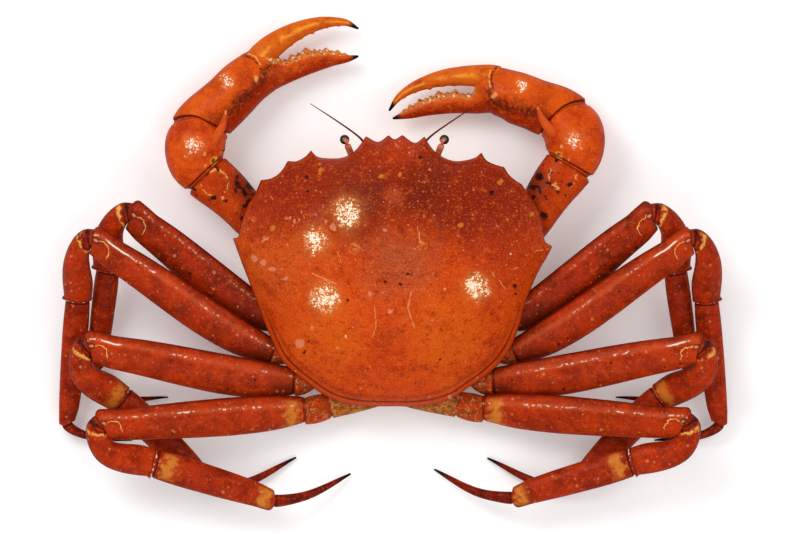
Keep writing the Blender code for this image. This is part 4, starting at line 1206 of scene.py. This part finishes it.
@dataclass(frozen=True)
class LimbFinish:
    """Mottled shell of a limb article.

    Lobe is the place across, the distance from the end and the radius of the rounded knee
    lobe. Dashes are the strength, the place across and the length of the solid streak next
    to the knee, in a painted highlight line along the front edge. Dark start and dark tip
    are lengths from the two ends, and collar is the distance from the end of a thin dark
    joint line, with painted highlight flecks between it and the end. Black dots, patches
    and start stripe are strengths; the patches are tan colour at the two ends.
    """

    name: str
    light: Tint = (186, 56, 10)
    dark: Tint = (134, 30, 6)
    lobe: tuple[float, float, float] | None = None
    dashes: tuple[float, float, float] | None = None
    black_dots: float = 0.0
    dark_start: float = 0.0
    start_patch: float = 0.0
    end_patch: float = 0.0
    start_stripe: float = 0.0
    collar: float = 0.0
    dark_tip: float = 0.0

    def material(self) -> bpy.types.Material:
        """Build the article's material."""
        paint = Paint(self.name)
        cloud = paint.noise(9.0, 5.0, 0.62)
        grain = paint.noise(0.8, 2.0)
        streak = paint.noise(2.6, 3.0)
        top = paint.up.ease(0.05, 0.5)
        paint.ground(cloud.ease(0.34, 0.66), self.light, self.dark)
        paint.lay(streak.ease(0.54, 0.7) * 0.35, (212, 84, 20))
        paint.lay(streak.ease(0.44, 0.3) * 0.35, DARK_RED)
        paint.lay(grain.ease(0.56, 0.7) * 0.22, (222, 110, 46))
        paint.lay(grain.ease(0.42, 0.3) * 0.3, DARK_RED)
        if self.dark_start:
            shade = (paint.from_start + (cloud - 0.5) * 30.0).ease(self.dark_start, 4.0)
            paint.lay(shade * (paint.side + 0.2).bell(0.0, 0.9) * 0.75, (84, 22, 6))
        # Painted shade: the outline and the rear side are darker than the top
        paint.lay(abs(paint.up).ease(0.5, 0.08) * 0.55, DARK_RED)
        paint.lay(abs(paint.up).ease(0.24, 0.0) * 0.7, (70, 12, 4))
        if self.black_dots:
            paint.lay(paint.dots(4.2, 0.65, 0.6) * top * self.black_dots, BLACK)
            paint.lay(paint.dots(3.7, 0.75, 0.4) * top * 0.55, PALE)
            paint.lay(paint.dots(2.1, 0.4, 0.45) * top * 0.4, PALE)
        if self.start_patch:
            patch = (paint.from_start + (streak - 0.5) * 14.0).bell(5.6, 5.4) * paint.up.ease(0.3, 0.8)
            paint.lay(patch * self.start_patch, TAN)
        if self.end_patch:
            patch = (paint.from_end + (streak - 0.5) * 10.0).bell(5.0, 4.6) * paint.up.ease(0.3, 0.8)
            paint.lay(patch * self.end_patch, TAN)
        if self.start_stripe:
            bend = paint.from_start + paint.side * 1.6 + (streak - 0.5) * 4.0
            stripe = bend.bell(3.2, 1.0) * top * streak.ease(0.4, 0.5)
            paint.lay(stripe * self.start_stripe, (226, 164, 78))
            paint.lay(bend.bell(1.4, 0.8) * top * self.start_stripe * 0.8, LINE)
        if self.lobe:
            place, distance, radius = self.lobe
            away = paint.knob(place, distance)
            paint.lay(away.ease(radius, radius - 2.4) * top * 0.3, (196, 56, 6))
            ring = (away + (streak - 0.5) * 3.4).bell(radius, 0.4) * paint.from_end.ease(0.8, 2.0)
            ring = ring * paint.across.ease(place - 1.2, place + 1.0)
            paint.lay(ring * top * 0.9, CREAM)
            # Pale knob of the knee in its socket, with painted shade round it
            knob = paint.knob(1.8, 1.5) + (streak - 0.5) * 0.8
            paint.lay(knob.ease(1.6, 0.9) * top * 0.8, LINE)
            paint.lay(knob.ease(0.9, 0.4) * top, (196, 122, 98))
        # Painted shade at the joints: a darker neck inside the article before and thin dark lines at both
        # ends
        paint.lay(paint.from_start.ease(-0.4, -1.0), (112, 30, 8))
        paint.lay(paint.from_start.bell(-0.1, 0.55), LINE)
        paint.lay(paint.from_end.ease(0.7, 0.2), (70, 14, 5))
        # Painted highlight: a broken white line over a pale band along the front edge, solid next to the
        # knee
        if self.dashes:
            strength, place, solid = self.dashes
            line = (paint.side + (streak - 0.5) * 0.1).bell(place, 0.075)
            broken = paint.noise(1.6, 2.0).ease(0.52, 0.57) * paint.noise(14.0, 1.0).ease(0.42, 0.56)
            whole = paint.from_end.ease(solid, solid - 3.0) * paint.from_end.ease(4.0, 6.0)
            shine = line * (broken * 0.8).most(whole) * top * strength
            paint.lay(paint.side.bell(place, 0.24) * top * strength * 0.28, (222, 110, 66))
            paint.lay(shine, GLINT)
        if self.collar:
            paint.lay((paint.from_end + (streak - 0.5) * 1.2).bell(self.collar, 0.4) * 0.85, LINE)
            # Painted highlight flecks between the joint line and the end
            collar_glint = paint.from_end.bell(self.collar - 1.0, 0.7)
            paint.lay(collar_glint * paint.noise(1.7, 1.0).ease(0.56, 0.62) * top, GLINT)
        if self.dark_tip:
            paint.lay(paint.from_end.ease(self.dark_tip, self.dark_tip * 0.2), BLACK)
        height = grain * 0.14 + streak * 0.2
        return paint.finish(0.38, height, coat=0.04)


@dataclass(frozen=True)
class ClawFinish:
    """Orange claw shell, brick red towards the body, with dark finger tips.

    Body side, streak, blotches and start patch are strengths of the red inner side, the
    orange line along a finger, the dark spots of the arm and the tan mark where the wrist
    begins. Tip is the length of the black finger tip. Teeth side is the sign of the side
    that bites, over the finger length. Lobe is as in LimbFinish. The rest are marks in plan:
    the glints and some of the pale marks are painted highlights, and the gap and hollow
    marks are painted shade.
    """

    name: str
    light: Tint = (206, 78, 12)
    dark: Tint = (156, 38, 6)
    body_side: float = 0.0
    streak: float = 0.0
    blotches: float = 0.0
    start_patch: float = 0.0
    tip: float = 0.0
    teeth_side: float = 0.0
    finger_length: float = 0.0
    lobe: tuple[float, float, float] | None = None
    glints: tuple = ()
    gaps: tuple = ()
    rims: tuple = ()
    hollows: tuple = ()
    pale: tuple = ()
    black: tuple = ()

    def material(self) -> bpy.types.Material:
        """Build the article's material."""
        paint = Paint(self.name)
        cloud = paint.noise(10.0, 5.0, 0.62)
        grain = paint.noise(0.9, 2.0)
        streak = paint.noise(2.8, 3.0)
        top = paint.up.ease(0.05, 0.45)
        paint.ground(cloud.ease(0.4, 0.7) * 0.75, self.light, self.dark)
        if self.body_side:
            inner = (paint.side + (cloud - 0.5) * 1.4).ease(-0.1, 0.6)
            paint.lay(inner * self.body_side, (158, 40, 6))
            middle = (paint.side + (streak - 0.5) * 0.9).bell(0.2, 0.42) * streak.ease(0.42, 0.6)
            paint.lay(middle * self.body_side * 0.55, (86, 20, 6))
        paint.lay(streak.ease(0.54, 0.72) * 0.4, (224, 104, 28))
        paint.lay(streak.ease(0.44, 0.3) * 0.3, (120, 30, 6))
        paint.lay(grain.ease(0.56, 0.7) * 0.22, (232, 132, 54))
        paint.lay(grain.ease(0.42, 0.3) * 0.28, DARK_RED)
        # Painted shade: the outline and the rear side are darker than the top
        paint.lay(abs(paint.up).ease(0.5, 0.08) * 0.5, (120, 28, 6))
        paint.lay(abs(paint.up).ease(0.2, 0.0) * 0.7, (80, 16, 4))
        if self.streak:
            line = (paint.side + (streak - 0.5) * 0.6).bell(0.0, 0.36)
            line = line * paint.noise(6.0, 2.0).ease(0.4, 0.6)
            paint.lay(line * self.streak * top, (228, 146, 48))
        if self.blotches:
            # Darker towards the body side away from the end, where the black blotches gather
            darker_inward = paint.side.ease(-0.4, 0.7) * paint.from_end.ease(6.0, 14.0)
            spots = (paint.noise(3.4, 2.0, 0.4) + darker_inward * 0.09).ease(0.66, 0.69)
            paint.lay(darker_inward * 0.65, (104, 20, 4))
            paint.lay(spots * self.blotches, BLACK)
        if self.lobe:
            place, distance, radius = self.lobe
            away = paint.knob(place, distance)
            paint.lay(away.ease(radius, radius - 2.4) * top * 0.25, (168, 46, 8))
            ring = (away + (streak - 0.5) * 5.4).bell(radius, 0.5) * paint.from_end.ease(0.6, 2.0)
            paint.lay(ring * top * streak.ease(0.43, 0.54) * 0.8, CREAM)
        if self.start_patch:
            patch = paint.from_start.ease(5.0, 0.6) * paint.side.bell(0.52, 0.36) + (streak - 0.5) * 1.1
            paint.lay(patch.ease(0.42, 0.8) * top * self.start_patch * 0.75, (222, 154, 62))
            hole = paint.from_start.bell(1.0, 1.4) * paint.side.bell(0.5, 0.14) + (streak - 0.5) * 0.8
            paint.lay(hole.ease(0.15, 0.6) * top * self.start_patch * 0.85, LINE)
        if self.teeth_side:
            biting = (paint.side * self.teeth_side + (streak - 0.5) * 0.5).ease(0.3, 0.62)
            biting = biting * paint.from_end.ease(self.finger_length, self.finger_length - 6.0)
            paint.lay(biting * 0.85, (206, 122, 54))
            paint.lay(biting * paint.noise(1.5, 2.0).ease(0.55, 0.66), (112, 44, 14))
            paint.lay(biting * paint.noise(1.7, 2.0).ease(0.58, 0.66) * 0.9, (244, 210, 168))
            paint.lay((paint.side * self.teeth_side).ease(0.9, 1.0) * biting * 0.6, (120, 50, 20))
        # Painted shade in the hollows by the movable finger and in the gaps between it and the palm
        paint.strokes(self.hollows, (78, 22, 5), 0.85)
        paint.strokes(self.gaps, (58, 20, 6), 0.95)
        paint.strokes(self.rims, CREAM, 0.85)
        # Pale marks, some of them painted highlights
        paint.spots(self.pale, (226, 150, 92), 0.75, 1.6)
        paint.spots(self.black, BLACK, 0.95, 2.2)
        # Painted shade at the joints: a darker neck inside the article before and thin dark lines at both
        # ends
        paint.lay(paint.from_start.ease(-0.5, -1.2), (140, 42, 10))
        paint.lay(paint.from_start.bell(-0.1, 0.6), (70, 16, 5))
        if not self.tip:
            paint.lay(paint.from_end.ease(0.8, 0.2), (70, 16, 5))
        # Painted highlights: an orange haze and broken white flecks round each glint
        for x, y, radius in self.glints:
            around = paint.near(x, y, 3.0)
            paint.lay(around.ease(radius * 1.6, 0.0) * 0.4, (222, 130, 60))
            glint_fleck = paint.noise(1.4, 2.0, 0.6, warp=1.2) + around.ease(radius, 0.0) * 0.13
            shine = glint_fleck.ease(0.59, 0.64) * around.ease(radius, radius * 0.5) * top
            paint.lay(shine * 0.85, GLINT)
        if self.tip:
            paint.lay((paint.from_end + (streak - 0.5) * 3.0).ease(self.tip, self.tip * 0.5), BLACK)
        height = grain * 0.16 + streak * 0.25
        return paint.finish(0.38, height, coat=0.04)


@dataclass(frozen=True)
class SkinFinish:
    """Cloudy two-colour skin of the belly, the joints, the stalks and the feelers."""

    name: str
    light: Tint
    dark: Tint
    size: float = 6.0
    roughness: float = 0.45
    veins: float = 0.0

    def material(self) -> bpy.types.Material:
        """Build the skin's material."""
        paint = Paint(self.name)
        cloud = paint.noise(self.size, 4.0, 0.6)
        paint.ground(cloud.ease(0.38, 0.66), self.light, self.dark)
        if self.veins:
            fold = paint.noise(4.0, 3.0, 0.5, warp=0.8).bell(0.5, 0.025)
            paint.lay(fold * self.veins * 0.7, (224, 186, 130))
            paint.lay(paint.noise(1.6, 3.0).ease(0.54, 0.62) * 0.6, (92, 60, 22))
        return paint.finish(self.roughness, cloud * 0.3)


@dataclass(frozen=True)
class EyeFinish:
    """Glossy black eye ring round a brown middle, with the stalk's skin behind."""

    def material(self) -> bpy.types.Material:
        """Build the eye's material."""
        paint = Paint("eye")
        away_x = abs(paint.x - SHIFT[0]) - EYE_CENTRE[0]
        away_y = paint.y - (EYE_CENTRE[1] + SHIFT[1])
        away = paint.math("SQRT", away_x * away_x + away_y * away_y)
        paint.ground(away.ease(1.35, 0.9), BLACK, (120, 84, 66))
        stalk = abs(away_x + 0.8 - away_y * 0.38).ease(1.25, 0.95) * away_y.ease(0.4, -0.2)
        paint.lay(stalk, (206, 116, 84))
        return paint.finish(0.12, coat=0.5)


class Finishes:
    """Every material of the crab."""

    def __init__(self) -> None:
        self.carapace = CarapaceFinish().material()
        self.belly = SkinFinish("belly", (220, 146, 82), (184, 78, 28)).material()
        self.hip = SkinFinish("hip", (186, 96, 26), (136, 66, 16), 3.0, veins=0.9).material()
        self.stalk = SkinFinish("stalk", (216, 130, 98), (190, 94, 66), 1.2).material()
        self.feeler = SkinFinish("feeler", (104, 26, 22), (74, 14, 14), 2.0).material()
        self.eye = EyeFinish().material()
        gaps = {"gaps": FINGER_GAP_SHADE, "rims": FINGER_RIMS}
        self.arm = {
            ArmPart.ischium: ClawFinish("arm ischium", dark=(112, 24, 6)).material(),
            ArmPart.merus: ClawFinish("arm merus", (184, 58, 8), (128, 26, 5), lobe=(-0.5, 6.5, 6.5),
                                      blotches=0.9, pale=ARM_GLINT_SPOTS, black=ARM_BLACK).material(),
            ArmPart.carpus: ClawFinish("wrist", (206, 72, 10), start_patch=1.0, glints=WRIST_GLINTS,
                                       pale=WRIST_DOTS).material(),
        }
        self.spine = ClawFinish("wrist spine", (206, 80, 26), (182, 56, 12), pale=SPINE_TIPS).material()
        self.palm = ClawFinish("palm", body_side=1.0, glints=PALM_GLINTS, teeth_side=-1.0,
                               finger_length=46.0, tip=4.5, hollows=FINGER_HOLLOW_SHADE, pale=PALM_TAN_GLINTS,
                               **gaps).material()
        self.finger = ClawFinish("finger", (208, 94, 18), (176, 62, 10), streak=0.9, tip=6.0,
                                 **gaps).material()
        self.meri = tuple(LimbFinish(f"{word} leg merus", *values).material() for word, *values in (
            ("first", (164, 40, 7), (110, 24, 6), (-2.4, 4.8, 5.2), (0.3, 0.74, 0.0), 0.8, 34.0),
            ("second", (174, 46, 8), (132, 32, 8), (-2.4, 4.8, 5.2), (0.95, 0.62, 20.0), 0.8, 18.0),
            ("third", (178, 50, 9), (140, 34, 8), (-2.2, 4.4, 4.8), (0.8, 0.66, 16.0), 0.8, 14.0),
            ("fourth", (176, 48, 8), (142, 36, 6), (-2.0, 5.2, 4.6), (0.8, 0.6, 0.0), 0.5, 0.0, 0.8),
        ))
        ischium = SkinFinish("leg ischium", (192, 62, 12), (140, 50, 12), 3.0, veins=0.7)
        carpus = LimbFinish("leg carpus", (178, 48, 8), start_stripe=0.95, collar=1.9, black_dots=0.2)
        propodus = LimbFinish("leg propodus", (168, 44, 10), (124, 26, 6), black_dots=0.3)
        dactyl = LimbFinish("leg dactyl", (132, 28, 10), (88, 16, 8), dark_tip=12.0)
        self.legs = {
            LegPart.ischium: ischium.material(),
            LegPart.carpus: carpus.material(),
            LegPart.propodus: propodus.material(),
            LegPart.dactyl: dactyl.material(),
        }
        # Two articles differ from their fellows in tan ends
        self.third_carpus = replace(carpus, name="third leg carpus", end_patch=0.7).material()
        self.last_propodus = replace(propodus, name="last leg propodus", start_patch=0.8,
                                     end_patch=0.85).material()

    def leg(self, part: LegPart, index: int) -> bpy.types.Material:
        """Material of one article of the walking leg with this index."""
        if part is LegPart.merus:
            return self.meri[index]
        if part is LegPart.carpus and index == 2:
            return self.third_carpus
        if part is LegPart.propodus and index == 3:
            return self.last_propodus
        return self.legs[part]


@dataclass
class Studio:
    """Pale floor, soft lights and a camera straight above.

    Lamps hold a name, a place and a size in metres, and a power in watts.
    """

    floor_size: float = 15.0
    floor_tone: float = 0.93
    floor_glow: float = 0.14
    world_strength: float = 0.68
    lamps: tuple = (
        ("key", (-0.55, 0.55, 0.95), 0.55, 5.6),
        ("fill", (0.75, 0.25, 0.9), 0.7, 2.6),
        ("back", (0.1, -0.8, 0.9), 0.7, 2.2),
    )
    camera_place: tuple[float, float] = (2.6 + SHIFT[0], -1.3 + SHIFT[1])
    camera_height: float = 7338.0
    lens: float = 700.0
    clip_end: float = 100.0

    def build(self) -> None:
        """Make the floor, the lights, the world and the camera."""
        bm = bmesh.new()
        bmesh.ops.create_grid(bm, x_segments=1, y_segments=1, size=self.floor_size)
        mesh = bpy.data.meshes.new("floor")
        bm.to_mesh(mesh)
        bm.free()
        surface = bpy.data.materials.new("floor")
        surface.use_nodes = True
        # A little light of its own keeps the shadows pale
        for name, value in (("Base Color", (*[self.floor_tone] * 3, 1.0)), ("Roughness", 0.8),
                            ("Emission Color", WHITE), ("Emission Strength", self.floor_glow)):
            surface.node_tree.nodes["Principled BSDF"].inputs[name].default_value = value
        mesh.materials.append(surface)
        floor = put("floor", mesh)
        world = bpy.data.worlds.new("studio")
        world.use_nodes = True
        background = world.node_tree.nodes["Background"]
        background.inputs["Color"].default_value = WHITE
        background.inputs["Strength"].default_value = self.world_strength
        bpy.context.scene.world = world
        for lamp in self.lamps:
            self.lamp(*lamp)
        camera = bpy.data.cameras.new("camera")
        camera.lens = self.lens
        camera.sensor_width = 36.0
        camera.clip_end = self.clip_end
        eye = put("camera", camera)
        eye.location = (self.camera_place[0] * MM, self.camera_place[1] * MM, self.camera_height * MM)
        bpy.context.scene.camera = eye
        bpy.context.scene.view_settings.view_transform = "Standard"

    @staticmethod
    def lamp(name: str, place: tuple[float, float, float], size: float, power: float) -> None:
        """Square soft light aimed at the crab."""
        light = bpy.data.lights.new(name, "AREA")
        light.size = size
        light.energy = power
        lamp = put(name, light)
        lamp.location = place
        distance = math.hypot(place[0], place[1])
        lamp.rotation_euler = (math.atan2(distance, place[2]), 0.0, math.atan2(place[0], -place[1]))


def main() -> None:
    """Build the crab and its studio."""
    finishes = Finishes()
    carapace = Carapace()
    carapace.build(finishes)
    Thorax(carapace).build(finishes)
    Flap().build(finishes)
    for side, legs in ((Side.LEFT, LEFT_LEGS), (Side.RIGHT, RIGHT_LEGS)):
        for index, places in enumerate(legs):
            Leg(side, index, places).build(finishes)
        Face(side).build(finishes)
    ClawArm(Side.LEFT, LEFT_ARM, LEFT_PALM, LEFT_FINGER, LEFT_SPINE).build(finishes)
    ClawArm(Side.RIGHT, RIGHT_ARM, RIGHT_PALM, RIGHT_FINGER, RIGHT_SPINE).build(finishes)
    Studio().build()


if __name__ == "__main__":
    logging.basicConfig(level=logging.INFO)
    main()
